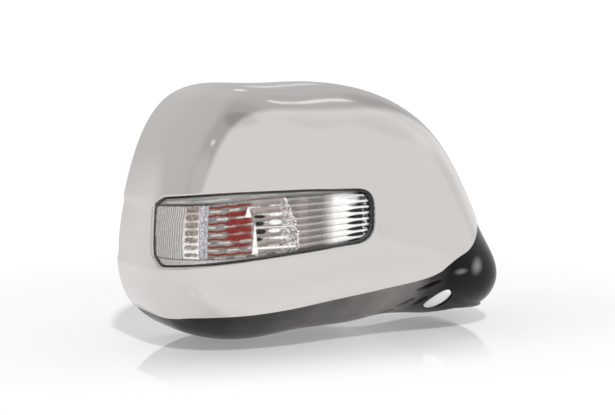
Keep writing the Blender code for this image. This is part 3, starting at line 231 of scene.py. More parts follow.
# ---------------------------------------------------------------- curves and surfaces as numbers
def periodic_spline(angles, values):
    """A smooth closed function of angle through the given values."""
    order = np.argsort(angles)
    a, v = np.asarray(angles, float)[order], np.asarray(values, float)[order]
    count = len(a)
    step = np.diff(np.append(a, a[0] + tau))
    system, right = np.zeros((count, count)), np.zeros(count)
    for i in range(count):
        after = (i + 1) % count
        system[i, i - 1] += step[i - 1]
        system[i, i] += 2 * (step[i - 1] + step[i])
        system[i, after] += step[i]
        right[i] = 6 * ((v[after] - v[i]) / step[i] - (v[i] - v[i - 1]) / step[i - 1])
    bend = np.linalg.solve(system, right)

    def value(angle):
        t = (np.asarray(angle, float) - a[0]) % tau + a[0]
        i = np.clip(np.searchsorted(a, t, side="right") - 1, 0, count - 1)
        after = (i + 1) % count
        near = (t - a[i]) / step[i]
        far = 1 - near
        curve = (far**3 - far) * bend[i] + (near**3 - near) * bend[after]
        return far * v[i] + near * v[after] + curve * step[i] ** 2 / 6

    return value


def outline_radius(points):
    offset = np.asarray(points, float) - (FORM_X, FORM_Z)
    return periodic_spline(np.arctan2(offset[:, 1], offset[:, 0]), np.hypot(*offset.T))


rim_radius = outline_radius(RIM)
glass_radius = outline_radius(GLASS)
cornering = periodic_spline([radians(a) for a, _ in CORNERING], [p for _, p in CORNERING])


def ease(value, low, high):
    """0 below low, 1 above high and smooth between them."""
    t = np.clip((value - low) / (high - low), 0, 1)
    return t * t * (3 - 2 * t)


def channel(points):
    """Depth of the shallow channel that runs from the lamp to the rear."""
    x, y, z = points[..., 0], points[..., 1], points[..., 2]
    across = ease(z, *CHANNEL_FOOT) * (1 - ease(z, *CHANNEL_TOP))
    return CHANNEL_DEPTH * across * ease(y, *CHANNEL_FRONT) * ease(-x, *CHANNEL_SIDE)


def form_points(direction, rise, inset=0.0, swell=False, relief=None):
    """Points of the form: direction goes round it, rise from its front centre at 0 to its rim."""
    direction, rise = np.broadcast_arrays(np.asarray(direction, float), np.asarray(rise, float))
    power = cornering(direction)
    share = np.sin(rise) ** (2 / power)
    depth = np.cos(rise).clip(0) ** (2 / power)
    deeper = np.zeros(direction.shape)
    for _ in range(4 if relief else 1):
        radius = share * (rim_radius(direction) - inset - deeper)
        points = np.stack([
            FORM_X + radius * np.cos(direction),
            REAR_Y - depth * (FORM_DEPTH - inset - deeper),
            FORM_Z + radius * np.sin(direction),
        ], -1)
        if relief:
            deeper = relief(points)
    if swell:
        apart = ((points - KNOB_CENTRE) ** 2).sum(-1, keepdims=True)
        away = points - KNOB_FROM
        away /= np.linalg.norm(away, axis=-1, keepdims=True)
        points = points + KNOB_RISE * np.exp(-apart / (2 * KNOB_SPREAD**2)) * away
    return points


def level(points):
    """Negative inside the form and positive outside it."""
    x, z = points[..., 0] - FORM_X, points[..., 2] - FORM_Z
    direction = np.arctan2(z, x)
    power = cornering(direction)
    share = np.hypot(x, z) / rim_radius(direction)
    depth = (REAR_Y - points[..., 1]).clip(0) / FORM_DEPTH
    return share**power + depth**power - 1


def outward(points):
    """The unit normal of the form at points on it."""
    small = 0.05
    slope = np.stack([
        level(points + small * axis) - level(points - small * axis) for axis in np.eye(3)
    ], -1)
    return slope / np.linalg.norm(slope, axis=-1, keepdims=True)


# ---------------------------------------------------------------- mesh helpers
def new_object(name, mesh):
    made = bpy.data.objects.new(name, mesh)
    bpy.context.scene.collection.objects.link(made)
    return made


def from_arrays(name, points, faces, scale=MM):
    mesh = bpy.data.meshes.new(name)
    mesh.from_pydata((np.asarray(points) * scale).tolist(), [], [list(map(int, f)) for f in faces])
    mesh.update()
    return new_object(name, mesh)


def quads(rows, columns, closed=True, start=0):
    """Faces of a grid of points given row by row; closed joins its last column to its first."""
    r, c = np.meshgrid(np.arange(rows - 1), np.arange(columns if closed else columns - 1), indexing="ij")
    after, below = (c + 1) % columns, (r + 1) * columns
    faces = np.stack([r * columns + c, r * columns + after, below + after, below + c], -1)
    return (faces.reshape(-1, 4) + start).tolist()


def face_out(target):
    bm = bmesh.new()
    bm.from_mesh(target.data)
    bmesh.ops.recalc_face_normals(bm, faces=bm.faces)
    if bm.calc_volume(signed=True) < 0:
        bmesh.ops.reverse_faces(bm, faces=bm.faces)
    bm.to_mesh(target.data)
    bm.free()
    return target


def settle(target):
    """Applies an object's modifiers."""
    bpy.context.view_layer.update()
    graph = bpy.context.evaluated_depsgraph_get()
    mesh = bpy.data.meshes.new_from_object(target.evaluated_get(graph))
    target.modifiers.clear()
    target.data = mesh
    return target


def combine(target, operation, *others):
    for other in others:
        step = target.modifiers.new(operation, "BOOLEAN")
        step.operation = operation
        step.object = other
        settle(target)
        bpy.data.objects.remove(other)
    return target


def cut(target, *cutters):
    return combine(target, "DIFFERENCE", *cutters)


def keep(target, *regions):
    return combine(target, "INTERSECT", *regions)


def smooth(target, degrees=35):
    target.data.shade_smooth()
    target.data.set_sharp_from_angle(angle=radians(degrees))
    return target


def circle(count):
    """Points on a unit circle about Z."""
    angles = np.linspace(0, tau, count, endpoint=False)
    return np.stack([np.cos(angles), np.sin(angles), 0 * angles], -1)


def loft(name, rings, joined=False, scale=MM):
    """Skins rings of equal count; joined closes the last ring to the first, else both ends are capped."""
    rings = [np.asarray(r, float) for r in rings]
    count = len(rings[0])
    total = len(rings) * count
    if joined:
        faces = [[i % total for i in f] for f in quads(len(rings) + 1, count)]
    else:
        faces = quads(len(rings), count)
        faces += [list(range(count)), list(range(total - 1, total - count - 1, -1))]
    return face_out(from_arrays(name, np.concatenate(rings), faces, scale))


def prism(name, outline, y_low, y_high, scale=MM):
    """A closed outline of (x, z) points run along Y."""
    return loft(name, [[(x, y, z) for x, z in outline] for y in (y_low, y_high)], scale=scale)


def catmull(points, steps):
    """A smooth line through points, as an array."""
    p = np.asarray(points, float)
    p = np.concatenate([[2 * p[0] - p[1]], p, [2 * p[-1] - p[-2]]])
    line = []
    for a, b, c, d in zip(p, p[1:], p[2:], p[3:]):
        square, cube = 2 * a - 5 * b + 4 * c - d, 3 * b - a - 3 * c + d
        for t in np.arange(steps) / steps:
            line.append(0.5 * (2 * b + (c - a) * t + square * t**2 + cube * t**3))
    return np.array([*line, p[-2]])


def form_shell(name, outer, inner, swell=False, relief=None):
    """The form's skin between two insets, open to the rear."""
    directions = np.linspace(0, tau, AROUND, endpoint=False)
    rises = np.linspace(0, pi / 2, RINGS + 1)[1:]
    rows = []
    for inset, order in ((outer, 1), (inner, -1)):
        rows.append(form_points(directions[None], rises[::order, None], inset, swell, relief))
    grid = np.concatenate(rows)
    count = len(grid)
    points = [grid.reshape(-1, 3)]
    points += [form_points(0, 0, inset, swell, relief).reshape(1, 3) for inset in (outer, inner)]
    nose, inside = count * AROUND, count * AROUND + 1
    faces = quads(count, AROUND)
    last = (count - 1) * AROUND
    for i in range(AROUND):
        j = (i + 1) % AROUND
        faces += [[nose, j, i], [inside, last + i, last + j]]
    return face_out(from_arrays(name, np.concatenate(points), faces))


# ---------------------------------------------------------------- the lamp's flat space
def surface_at(turn, z):
    """The form's point that a level ray at that turn meets, at that height."""
    turn, z = np.broadcast_arrays(np.asarray(turn, float), np.asarray(z, float))
    near, far = np.zeros(turn.shape), np.full(turn.shape, 170.0)

    def point(reach):
        return np.stack([RAYS_FROM[0] + reach * np.cos(turn), RAYS_FROM[1] + reach * np.sin(turn), z], -1)

    for _ in range(32):
        middle = (near + far) / 2
        inside = level(point(middle)) < 0
        near, far = np.where(inside, middle, near), np.where(inside, far, middle)
    return point((near + far) / 2)


TURNS = np.radians(np.linspace(-30, -178, 600))
walk = np.linalg.norm(np.diff(surface_at(TURNS, WALK_Z), axis=0), axis=1)
WALKED = -np.concatenate([[0], np.cumsum(walk)])  # flat x: minus the distance walked from the inboard side


def bend(flat):
    """Wraps flat (x, depth, z) points onto the form."""
    flat = np.asarray(flat, float)
    turn = np.interp(-flat[..., 0], -WALKED, TURNS)
    on = surface_at(turn, flat[..., 2])
    return on - outward(on) * flat[..., 1:2]


def bend_object(target):
    """Wraps a mesh built in flat millimetres onto the form."""
    mesh = target.data
    flat = np.zeros(len(mesh.vertices) * 3)
    mesh.vertices.foreach_get("co", flat)
    placed = bend(flat.reshape(-1, 3)) * MM
    mesh.vertices.foreach_set("co", placed.ravel())
    mesh.update()
    return face_out(target)


def lamp_outline():
    """The lamp's outline in flat (x, z), anticlockwise, one point a millimetre."""
    corners = [np.array(c, float) for c in LAMP_CORNERS]
    points = []
    for before, here, after in zip(corners[-1:] + corners[:-1], corners, corners[1:] + corners[:1]):
        place, reach = here[:2], here[2]
        sides = before[:2] - place, after[:2] - place
        start, end = (place + reach * side / np.linalg.norm(side) for side in sides)
        for t in np.linspace(0, 1, 12):
            points.append((1 - t) ** 2 * start + 2 * t * (1 - t) * place + t**2 * end)
    return resample(soften(resample(np.array(points), 1.0), 2), 1.0)


def resample(outline, spacing):
    """A closed outline with points evenly spaced."""
    closed = np.concatenate([outline, outline[:1]])
    walked = np.concatenate([[0], np.cumsum(np.hypot(*np.diff(closed, axis=0).T))])
    marks = np.linspace(0, walked[-1], int(walked[-1] / spacing), endpoint=False)
    return np.stack([np.interp(marks, walked, closed[:, k]) for k in (0, 1)], -1)


def soften(outline, times):
    for _ in range(times):
        outline = (np.roll(outline, 1, 0) + 2 * outline + np.roll(outline, -1, 0)) / 4
    return outline


def grown(outline, distance):
    """A closed anticlockwise outline moved outwards, or inwards without crossing itself."""
    along = np.roll(outline, -1, 0) - np.roll(outline, 1, 0)
    along /= np.linalg.norm(along, axis=1, keepdims=True)
    moved = outline + distance * np.stack([along[:, 1], -along[:, 0]], -1)
    if distance > -0.5:
        return moved
    clear = edge_distance(outline, moved[:, 0], moved[:, 1]) > 0.98 * abs(distance)
    return resample(moved[clear], 1.0)


def flat_sheet(name, outline, front, back, step_x, step_z):
    """A slab in flat millimetres inside an outline. front and back give the depth of its two faces."""
    (x_low, z_low), (x_high, z_high) = outline.min(0) - 2, outline.max(0) + 2
    xs = np.linspace(x_low, x_high, int((x_high - x_low) / step_x))
    zs = np.linspace(z_low, z_high, int((z_high - z_low) / step_z))
    z, x = np.meshgrid(zs, xs, indexing="ij")
    rows, columns = x.shape
    sides = []
    for depth in (front, back):
        d = depth(x, z) if callable(depth) else np.full(x.shape, float(depth))
        sides.append(np.stack([x, d, z], -1).reshape(-1, 3))
    shift = rows * columns
    near = quads(rows, columns, closed=False)
    behind = [f[::-1] for f in quads(rows, columns, closed=False, start=shift)]
    grid = np.arange(shift).reshape(rows, columns)
    border = [*grid[0], *grid[1:, -1], *grid[-1, -2::-1], *grid[-2:0:-1, 0]]
    walls = [[a, a + shift, b + shift, b] for a, b in zip(border, border[1:] + border[:1])]
    made = face_out(from_arrays(name, np.concatenate(sides), near + behind + walls, scale=1.0))
    return keep(made, prism("outline", outline.tolist(), -60, 60, scale=1.0))


# ---------------------------------------------------------------- materials
def shader_of(name):
    made = bpy.data.materials.new(name)
    made.use_nodes = True
    return made, made.node_tree, made.node_tree.nodes["Principled BSDF"]


def feed(tree, target, values):
    """Gives a node's inputs a link each, from a socket, or a value."""
    for key, value in values.items():
        if isinstance(value, bpy.types.NodeSocket):
            tree.links.new(value, target.inputs[key])
        else:
            target.inputs[key].default_value = value


def node(tree, kind, values=None, **settings):
    made = tree.nodes.new("ShaderNode" + kind)
    for key, value in settings.items():
        setattr(made, key, value)
    feed(tree, made, values or {})
    return made


def noise_of(tree, scale, detail=3.0, stretch=(1, 1, 1)):
    """Noise over the surface, in features a metre."""
    place = node(tree, "TexCoord").outputs["Object"]
    mapping = node(tree, "Mapping", {"Vector": place, "Scale": stretch})
    values = {"Vector": mapping.outputs["Vector"], "Scale": scale, "Detail": detail}
    return node(tree, "TexNoise", values).outputs["Fac"]


def ranged(tree, value, limits, results, smooth=False):
    """Runs between two results as a value runs between two limits."""
    values = dict(zip(("From Min", "From Max", "To Min", "To Max"), (*limits, *results)), Value=value)
    kind = "SMOOTHSTEP" if smooth else "LINEAR"
    return node(tree, "MapRange", values, interpolation_type=kind).outputs["Result"]


def hazy(tree, noise, low, high):
    """A range of roughness from noise."""
    return ranged(tree, noise, (0.25, 0.75), (low, high))


def two_tones(tree, noise, first, second):
    ramp = node(tree, "ValToRGB", {"Fac": noise})
    stops = ramp.color_ramp.elements
    stops[0].position, stops[1].position = 0.35, 0.65
    stops[0].color, stops[1].color = (*first, 1), (*second, 1)
    return ramp.outputs["Color"]


def bump(tree, noise, height, under=None):
    values = {"Distance": height, "Height": noise}
    if under:
        values["Normal"] = under
    return node(tree, "Bump", values).outputs["Normal"]


def mixed_colour(tree, share, first, second, blend="MIX"):
    values = {0: share, 6: first, 7: second}
    return node(tree, "Mix", values, data_type="RGBA", blend_type=blend).outputs[2]


def mixed_shader(tree, share, first, second):
    return node(tree, "MixShader", {"Fac": share, 1: first, 2: second}).outputs["Shader"]


def show(tree, surface):
    feed(tree, tree.nodes["Material Output"], {"Surface": surface})


def profile_ramp(tree, share, profile, tint=(1.0, 1.0, 1.0)):
    """A ramp over a share from 0 to 1, from (place, tone) pairs whose first and last are its ends."""
    ramp = node(tree, "ValToRGB", {"Fac": share})
    ramp.color_ramp.interpolation = "EASE"
    stops = ramp.color_ramp.elements
    low, high = profile[0][0], profile[-1][0]
    colours = [(tone * tint[0], tone * tint[1], tone * tint[2], 1) for _, tone in profile]
    stops[0].color, stops[-1].color = colours[0], colours[-1]
    for (place, _), colour in zip(profile[1:-1], colours[1:-1]):
        stops.new((place - low) / (high - low)).color = colour
    return ramp.outputs["Color"]


def oval_share(tree, place, centre, size, limits, results):
    """Runs between two results over the distance from a centre, measured in an oval's own size."""
    shift = node(tree, "VectorMath", {0: place, 1: centre}, operation="SUBTRACT")
    scaled = node(tree, "VectorMath", {0: shift.outputs["Vector"], 1: size}, operation="DIVIDE")
    apart = node(tree, "VectorMath", {0: scaled.outputs["Vector"]}, operation="LENGTH")
    return ranged(tree, apart.outputs["Value"], limits, results, smooth=True)


def moulded(name, first, second, rough, metallic=0.0, grain=900, height=2e-5, coat=0.0, stretch=(1, 1, 1)):
    """A finish with slow patches of tone, a range of roughness and a fine grain."""
    made, tree, shader = shader_of(name)
    feed(tree, shader, {
        "Base Color": two_tones(tree, noise_of(tree, PATCHES, 4), first, second),
        "Roughness": hazy(tree, noise_of(tree, PATCHES * 3, 5), *rough),
        "Normal": bump(tree, noise_of(tree, grain, 2, stretch), height),
        "Metallic": metallic,
    })
    if coat:
        feed(tree, shader, {"Coat Weight": coat, "Coat Roughness": 0.06})
    return made


def painted_sheen_black(name):
    """Black plastic with painted light: a brownish painted sheen along the middle of the lower edge, dark at
    its ends, and painted highlights on the knob.
    """
    made, tree, shader = shader_of(name)
    place = node(tree, "TexCoord").outputs["Object"]
    split = node(tree, "SeparateXYZ", {"Vector": place})
    along = ranged(tree, split.outputs["X"], (PAINTED_SHEEN_BY_X[0][0] * MM, PAINTED_SHEEN_BY_X[-1][0] * MM), (0, 1))
    mottle = two_tones(tree, noise_of(tree, 60, 4), (0.7, 0.7, 0.7), (1, 1, 1))
    # the ramp paints reflected light by x: a brownish sheen in the middle, dark at the ends
    colour = mixed_colour(tree, 0.5, profile_ramp(tree, along, PAINTED_SHEEN_BY_X, PAINTED_SHEEN_TINT), mottle, "MULTIPLY")
    # painted soft highlights on the knob
    for centre, size, tone in KNOB_HIGHLIGHTS:
        share = oval_share(tree, place, Vector(centre) * MM, Vector(size) * MM, (0, 1), (1, 0))
        colour = mixed_colour(tree, share, colour, (tone, tone, tone, 1))
    feed(tree, shader, {
        "Base Color": colour,
        "Roughness": hazy(tree, noise_of(tree, 135, 5), 0.18, 0.28),
        "Normal": bump(tree, noise_of(tree, 1500, 2), 4e-6),
        "Specular IOR Level": 0.10,
    })
    return made


def plating(name, first, second, rough, wave_height):
    """Bright plating: slow waves in the moulding under it, faint polishing haze and fine orange peel."""
    made, tree, shader = shader_of(name)
    waves = bump(tree, noise_of(tree, 16, 1.5), wave_height)
    feed(tree, shader, {
        "Base Color": two_tones(tree, noise_of(tree, 14, 2), first, second),
        "Roughness": hazy(tree, noise_of(tree, 60, 6, (1, 1, 2.5)), *rough),
        "Normal": bump(tree, noise_of(tree, 700, 2), 1.2e-6, waves),
        "Metallic": 1.0,
    })
    return made


def clear_lens(name):
    """Clear polished plastic: see-through, with a gloss that grows at a slant."""
    made, tree, shader = shader_of(name)
    feed(tree, shader, {
        "Base Color": (0.9, 0.9, 0.9, 1),
        "Roughness": hazy(tree, noise_of(tree, 220, 4), 0.02, 0.09),
        "Normal": bump(tree, noise_of(tree, 60, 2), 1e-5),
        "Metallic": 1.0,
    })
    through = node(tree, "BsdfTransparent", {"Color": (0.97, 0.97, 0.965, 1)})
    slant = node(tree, "LayerWeight", {"Blend": 0.5})
    steep = node(tree, "Math", {0: slant.outputs["Facing"], 1: 4.0}, operation="POWER")
    share = node(tree, "Math", {0: steep.outputs["Value"], 1: 0.35, 2: 0.008}, operation="MULTIPLY_ADD")
    show(tree, mixed_shader(tree, share.outputs["Value"], through.outputs["BSDF"], shader.outputs["BSDF"]))
    return made


def painted_optics(name):
    """The lamp's metallised optics: each facet's tone comes from the mesh, and those tones are mostly
    painted reflections, highlights and shade.
    """
    made, tree, shader = shader_of(name)
    tone = node(tree, "Attribute", attribute_name="tone").outputs["Color"]
    grime = two_tones(tree, noise_of(tree, 500, 3), GRIME, (1, 1, 1))
    feed(tree, shader, {
        "Base Color": mixed_colour(tree, 0.35, tone, grime, "MULTIPLY"),
        "Roughness": hazy(tree, noise_of(tree, 300, 4), 0.10, 0.26),
        "Normal": bump(tree, noise_of(tree, 900, 2), 3e-5),
        "Metallic": 0.5,
    })
    return made


def make_finishes():
    """One material for each of the record's slots, and the frosted lens."""
    made = {"gloss_black": painted_sheen_black("gloss_black"), "clear_lens": clear_lens("clear_lens")}
    for name, look in PLATED.items():
        made[name] = plating(name, *look)
    for name, (*look, others) in MOULDED.items():
        made[name] = moulded(name, *look, **others)
    return made


finishes = make_finishes()


def finish_piece(target, slot, body="head", replaces=(), degrees=35, material=None):
    """Gives a new piece a finish, its slot's material unless another is given, smooths it, hangs it on its
    body and hides the CAD nodes it stands for.
    """
    target.data.materials.clear()
    target.data.materials.append(material or finishes[slot])
    smooth(target, degrees)
    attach(target, body)
    if replaces:
        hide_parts(*replaces)
    return target


# ---------------------------------------------------------------- covers
def split_region(name, above):
    side, far = (1, 260) if above else (-1, -80)
    line = catmull(SPLIT_LINE, 8) + (0, side * GAP / 2)
    outline = [*map(tuple, line), (line[-1][0], far), (line[0][0], far)]
    return prism(name, outline, -120, REAR_Y + 60)


def lamp_cutter(outline, grow):
    """The space that the lamp and its rim take out of the cover."""
    made = flat_sheet("lamp_space", grown(outline, grow), *LAMP_SPACE, 2.5, 2.5)
    return bend_object(made)


def make_chrome_cover(outline):
    cover = form_shell("chrome_shell", 0.0, COVER_WALL, relief=channel)
    keep(cover, split_region("above", True))
    cut(cover, lamp_cutter(outline, LAMP_LIP))
    return finish_piece(cover, "bright_plating", replaces=["chrome_cover"])


def make_lamp_rim(outline):
    """The rolled edge of the cover round the lamp."""
    section = [(LAMP_LIP + 0.02, 0.0)]
    section += [(LAMP_LIP * (1 - sin(a)), LAMP_LIP * (1 - cos(a))) for a in np.linspace(0.15, pi / 2, 8)]
    section += [(0.0, RIM_DEPTH), (LAMP_LIP + 0.02, RIM_DEPTH)]
    rings = []
    for grow, depth in section:
        ring = grown(outline, grow)
        on = np.stack([ring[:, 0], np.full(len(ring), depth), ring[:, 1]], -1)
        placed = bend(on)
        deeper = channel(placed)[:, None]
        rings.append(placed - outward(bend(on * (1, 0, 1))) * deeper)
    rim = loft("lamp_rim", rings, joined=True)
    return finish_piece(rim, "bright_plating", degrees=50)


def ellipse_bar(name, centre, out, half_long, half_short, rings, count=64):
    """An elliptical bar from two half diameters and its rings' (height, share of the size)."""
    centre, out = np.array(centre, float), np.array(Vector(out).normalized())
    around = circle(count)
    section = np.outer(around[:, 0], half_long) + np.outer(around[:, 1], half_short)
    return loft(name, [centre + out * height + section * share for height, share in rings])


def slot_cutter(start, end, width):
    """A round-ended bar through the cover, about square to its surface."""
    start, end = Vector(start), Vector(end)
    middle, along = (start + end) / 2, end - start
    direction = np.arctan2(middle.z - FORM_Z, middle.x - FORM_X)
    away = Vector((cos(direction), -1.0, sin(direction)))
    across = along.cross(away).normalized() * (width / 2)
    heights = ((-SLOT_REACH, 1.0), (SLOT_REACH, 1.0))
    return ellipse_bar("slot", middle, across.cross(along), along / 2, across, heights, 32)


def puddle_bar(name, rings):
    return ellipse_bar(name, PUDDLE_AT, PUDDLE_OUT, PUDDLE_LONG, PUDDLE_SHORT, rings)


def make_lower_cover():
    cover = form_shell("lower_shell", LOWER_STEP, LOWER_STEP + LOWER_WALL, swell=True)
    keep(cover, split_region("below", False))
    cut(cover, loft("pivot_hole", [PIVOT_HOLE * circle(96) + (0, 0, height) for height in (-40, 13)]))
    cut(cover, puddle_bar("puddle_hole", ((-12, 1.06), (12, 1.06))))
    for start, end, width in SLOTS:
        cut(cover, slot_cutter(start, end, width))
    return finish_piece(cover, "gloss_black", replaces=["lower_cover"])


def make_puddle_lens():
    """A shallow dome with a flange behind it."""
    rings = [(PUDDLE_SEAT, 1.0)]
    for share in (1.0, 0.985, 0.95, 0.88, 0.78, 0.64, 0.48, 0.3, 0.1):
        rings.append((-1.6 + 1.8 * (1 - share**2) ** 0.7, share))
    dome = puddle_bar("puddle_dome", rings)
    return finish_piece(dome, "clear_lens", replaces=["puddle_lens"], material=finishes["frosted_lens"])


def ring_at(y, radius_of, extra, count=240, relief=None):
    directions = np.linspace(0, tau, count, endpoint=False)
    around = np.stack([np.cos(directions), np.zeros(count), np.sin(directions)], -1)
    ring = around * (radius_of(directions) + extra)[:, None] + (FORM_X, y, FORM_Z)
    return ring - around * relief(ring)[:, None] if relief else ring


def make_bezel():
    """The frame round the glass: a flange behind the covers' rear edges and a wall round the glass."""
    seat, rounding = REAR_Y + GAP, 1.8
    flange = [(seat, -1.3), (seat + 0.2, -1.1)]
    for a in np.linspace(0, pi / 2, 7):
        flange.append((BEZEL_REAR_Y - rounding * (1 - sin(a)), -1.1 - rounding * (1 - cos(a))))
    rings = [ring_at(y, rim_radius, extra, relief=channel) for y, extra in flange]
    wall_rear = BEZEL_REAR_Y - 1.2
    wall = (
        (wall_rear, 2.2), (wall_rear - 0.6, 0.7), (wall_rear - 2.0, 0.1), (BEZEL_WALL_FRONT_Y, 0.0),
        (BEZEL_WALL_FRONT_Y, BEZEL_WALL), (seat, BEZEL_WALL + 0.5),
    )
    rings += [ring_at(y, glass_radius, GLASS_MARGIN + extra) for y, extra in wall]
    return finish_piece(loft("bezel_frame", rings, joined=True), "gloss_black", replaces=["glass_bezel"])


def make_glass():
    """The glass with ground edges, and the carrier's rim round it."""
    rear, front = GLASS_REAR_Y, GLASS_REAR_Y - GLASS_THICK
    rings = [ring_at(front, glass_radius, 0.0), ring_at(rear - 0.4, glass_radius, 0.0)]
    edge = ring_at(rear, glass_radius, -0.5)
    middle = np.array((FORM_X, rear, FORM_Z))
    rings += [middle + (edge - middle) * share for share in (1.0, 0.96, 0.8, 0.6, 0.4, 0.2, 0.03)]
    finish_piece(loft("mirror_pane", rings), "mirror_coating", "glass", ["mirror_glass"])
    section = (
        (0.35, front - 1.0), (0.35, rear + 0.1), (0.8, rear + 0.45), (1.5, rear + 0.1), (2.1, rear - 1.2),
        (2.1, front - 1.0),
    )
    rings = [ring_at(y, glass_radius, extra) for extra, y in section]
    finish_piece(loft("pane_rim", rings, joined=True), "dark_plastic", "glass")


# ---------------------------------------------------------------- lamp pieces
def edge_distance(outline, x, z):
    """How far from an outline each place lies."""
    places = np.stack([x.ravel(), z.ravel()], -1)
    best = np.full(len(places), 1e9)
    for start, step in zip(outline, np.roll(outline, -1, 0) - outline):
        t = np.clip(((places - start) @ step) / (step @ step), 0, 1)
        best = np.minimum(best, np.hypot(*(places - start - t[:, None] * step).T))
    return best.reshape(x.shape)


def top_of_rows(x):
    """The height where the lamp's upper bevel begins."""
    return np.interp(x, *zip(*ROW_TOPS))


def foot_of_rows(x):
    """The height where the lamp's lower bevel ends."""
    return np.interp(x, *zip(*ROW_FEET))


def make_lens(outline):
    """The clear cover of the lamp: rounded edges and a bevel above and below its face."""
    lens_outline = grown(outline, -LENS_INSET)

    def front(x, z):
        rounding = (1 - ease(edge_distance(lens_outline, x, z), 0.0, LENS_ROUNDING)) ** 2
        bevel = (z - top_of_rows(x)).clip(0) + 1.3 * (foot_of_rows(x) - z).clip(0)
        return LENS_FRONT + 0.9 * rounding + 0.16 * bevel

    lens = bend_object(flat_sheet("clear_cover", lens_outline, front, LENS_BACK, 0.9, 0.9))
    return finish_piece(lens, "clear_lens", replaces=["lamp_lens"])


def make_tray(outline):
    """The dark wall round the optics and the floor behind them."""
    tray = flat_sheet("lamp_tray", grown(outline, -LENS_INSET), TRAY_FRONT, TRAY_BACK, 2.0, 2.0)
    cut(tray, flat_sheet("hollow", grown(outline, -TRAY_WALL), 1.0, TRAY_FLOOR, 2.0, 2.0))
    return finish_piece(bend_object(tray), "dark_plastic", replaces=["lamp_body", "lamp_seal"])


def make_optics(outline):
    """The metallised prisms, bars and flutes seen through the lens, with their reflections, highlights and
    shade painted into a tone on each point.
    """
    inner = grown(outline, -OPTICS_INSET)
    made = flat_sheet("lamp_optics", inner, optic_depth, OPTICS_BACK, *OPTICS_STEPS)
    flat = np.zeros(len(made.data.vertices) * 3)
    made.data.vertices.foreach_get("co", flat)
    flat = flat.reshape(-1, 3)
    tones = optic_tone(outline, flat[:, 0], flat[:, 2])
    bend_object(made)
    attribute = made.data.attributes.new("tone", "FLOAT_COLOR", "POINT")
    colours = np.concatenate([tones, np.ones((len(tones), 1))], 1)
    attribute.data.foreach_set("color", colours.astype(np.float32).ravel())
    looks = painted_optics("lamp_metallising_painted_reflections")
    return finish_piece(made, "bright_plating", replaces=["lamp_reflector"], degrees=60, material=looks)


def row_of(x, z, count):
    """The row that a place lies in, as a number with its fraction; rows run with the bevels."""
    foot, top = foot_of_rows(x), top_of_rows(x)
    return count * (z - foot) / (top - foot)


def zigzag_x(z):
    """The jagged line where the blocks meet the flutes."""
    return np.interp(z, *zip(*ZIGZAG)) + 0.9 * (2 * np.abs((z / 2.2) % 1 - 0.5) - 0.5)


def speckle(x, z, size):
    """A repeatable scatter of values from 0 to 1, one a cell."""
    seed = np.sin(np.floor(x / size) * 12.9898 + np.floor(z / size) * 78.233) * 43758.5453
    return seed % 1


def half_round(part):
    """A half circle's height over each whole step."""
    return np.sqrt(np.clip(1 - (2 * (part % 1) - 1) ** 2, 0, 1))


def optic_depth(x, z):
    """Depth of the optics' relief below the form."""
    row, flute = row_of(x, z, LEFT_ROWS), half_round(row_of(x, z, FLUTES))
    ridge = half_round(row)
    ribs = RIBS_DEPTH - 0.45 * np.abs(np.sin(pi * rib_number(x, z)))
    prisms = PRISMS_DEPTH - 0.8 * np.abs(2 * ((x / PRISM) % 1) - 1) * np.abs(2 * ((z / PRISM) % 1) - 1)
    bumps = 0.4 * np.sin(x / 1.3 + 2.1 * np.floor(row)) ** 2
    depth = np.where(x > zigzag_x(z), ROWS_DEPTH - 0.7 * flute, ROWS_DEPTH - 0.7 * ridge - bumps)
    depth = np.where(x < SPARKLE_END, prisms, depth)
    depth = np.where(x < BARS_END, BARS_DEPTH - 0.8 * ridge, depth)
    depth = np.where(x < RIBS_END, ribs, depth)
    bevel = (z - top_of_rows(x)).clip(0, 4) + (foot_of_rows(x) - z).clip(0, 4)
    return depth - (depth - EDGE_DEPTH) * np.minimum(1, bevel / 3.5)


def rib_number(x, z):
    """The upright rib that a place lies in; the ribs bow outwards and wander a little."""
    bow = 1.2 * ((z - 69) / 17) ** 2
    return (x - bow + 0.25 * np.sin(z / 1.9)) / RIB_SPACING


def mixed(tone, colour, share):
    """Lays a colour over the tones by a share from 0 to 1."""
    share = np.clip(share, 0, 1)[:, None]
    return tone * (1 - share) + np.asarray(colour) * share


def spot(x, z, centre_x, centre_z, half_x, half_z, soft=0.35):
    """1 inside an oval, falling to 0 at its edge."""
    reach = np.hypot((x - centre_x) / half_x, (z - centre_z) / half_z)
    return 1 - ease(reach, 1 - soft, 1 + soft)


def triangle(x, z, centre_x, foot, top, half):
    """1 inside an upright triangle."""
    share = (top - z) / (top - foot)
    inside = (share > 0) & (share < 1)
    return inside * (1 - ease(np.abs(x - centre_x), half * share - 0.2, half * share + 0.2))


def band(value, low, high, soft):
    """1 between two limits and 0 beyond them."""
    return ease(value, low - soft, low + soft) * (1 - ease(value, high - soft, high + soft))


def filled(colour, count):
    return np.tile(np.asarray(colour, float), (count, 1))


def ribs_tone(x, z):
    # pale ribs with painted light: painted highlight lines where they meet and painted shade over their
    # middles
    line = np.abs((rib_number(x, z) % 1) - 0.5) * 2
    tone = mixed(filled(PALE, len(x)), WHITE, 0.5 * ease(line, 0.6, 1.0))
    return mixed(tone, SMOKE, 0.85 * (1 - ease(line, 0.05, 0.42)))


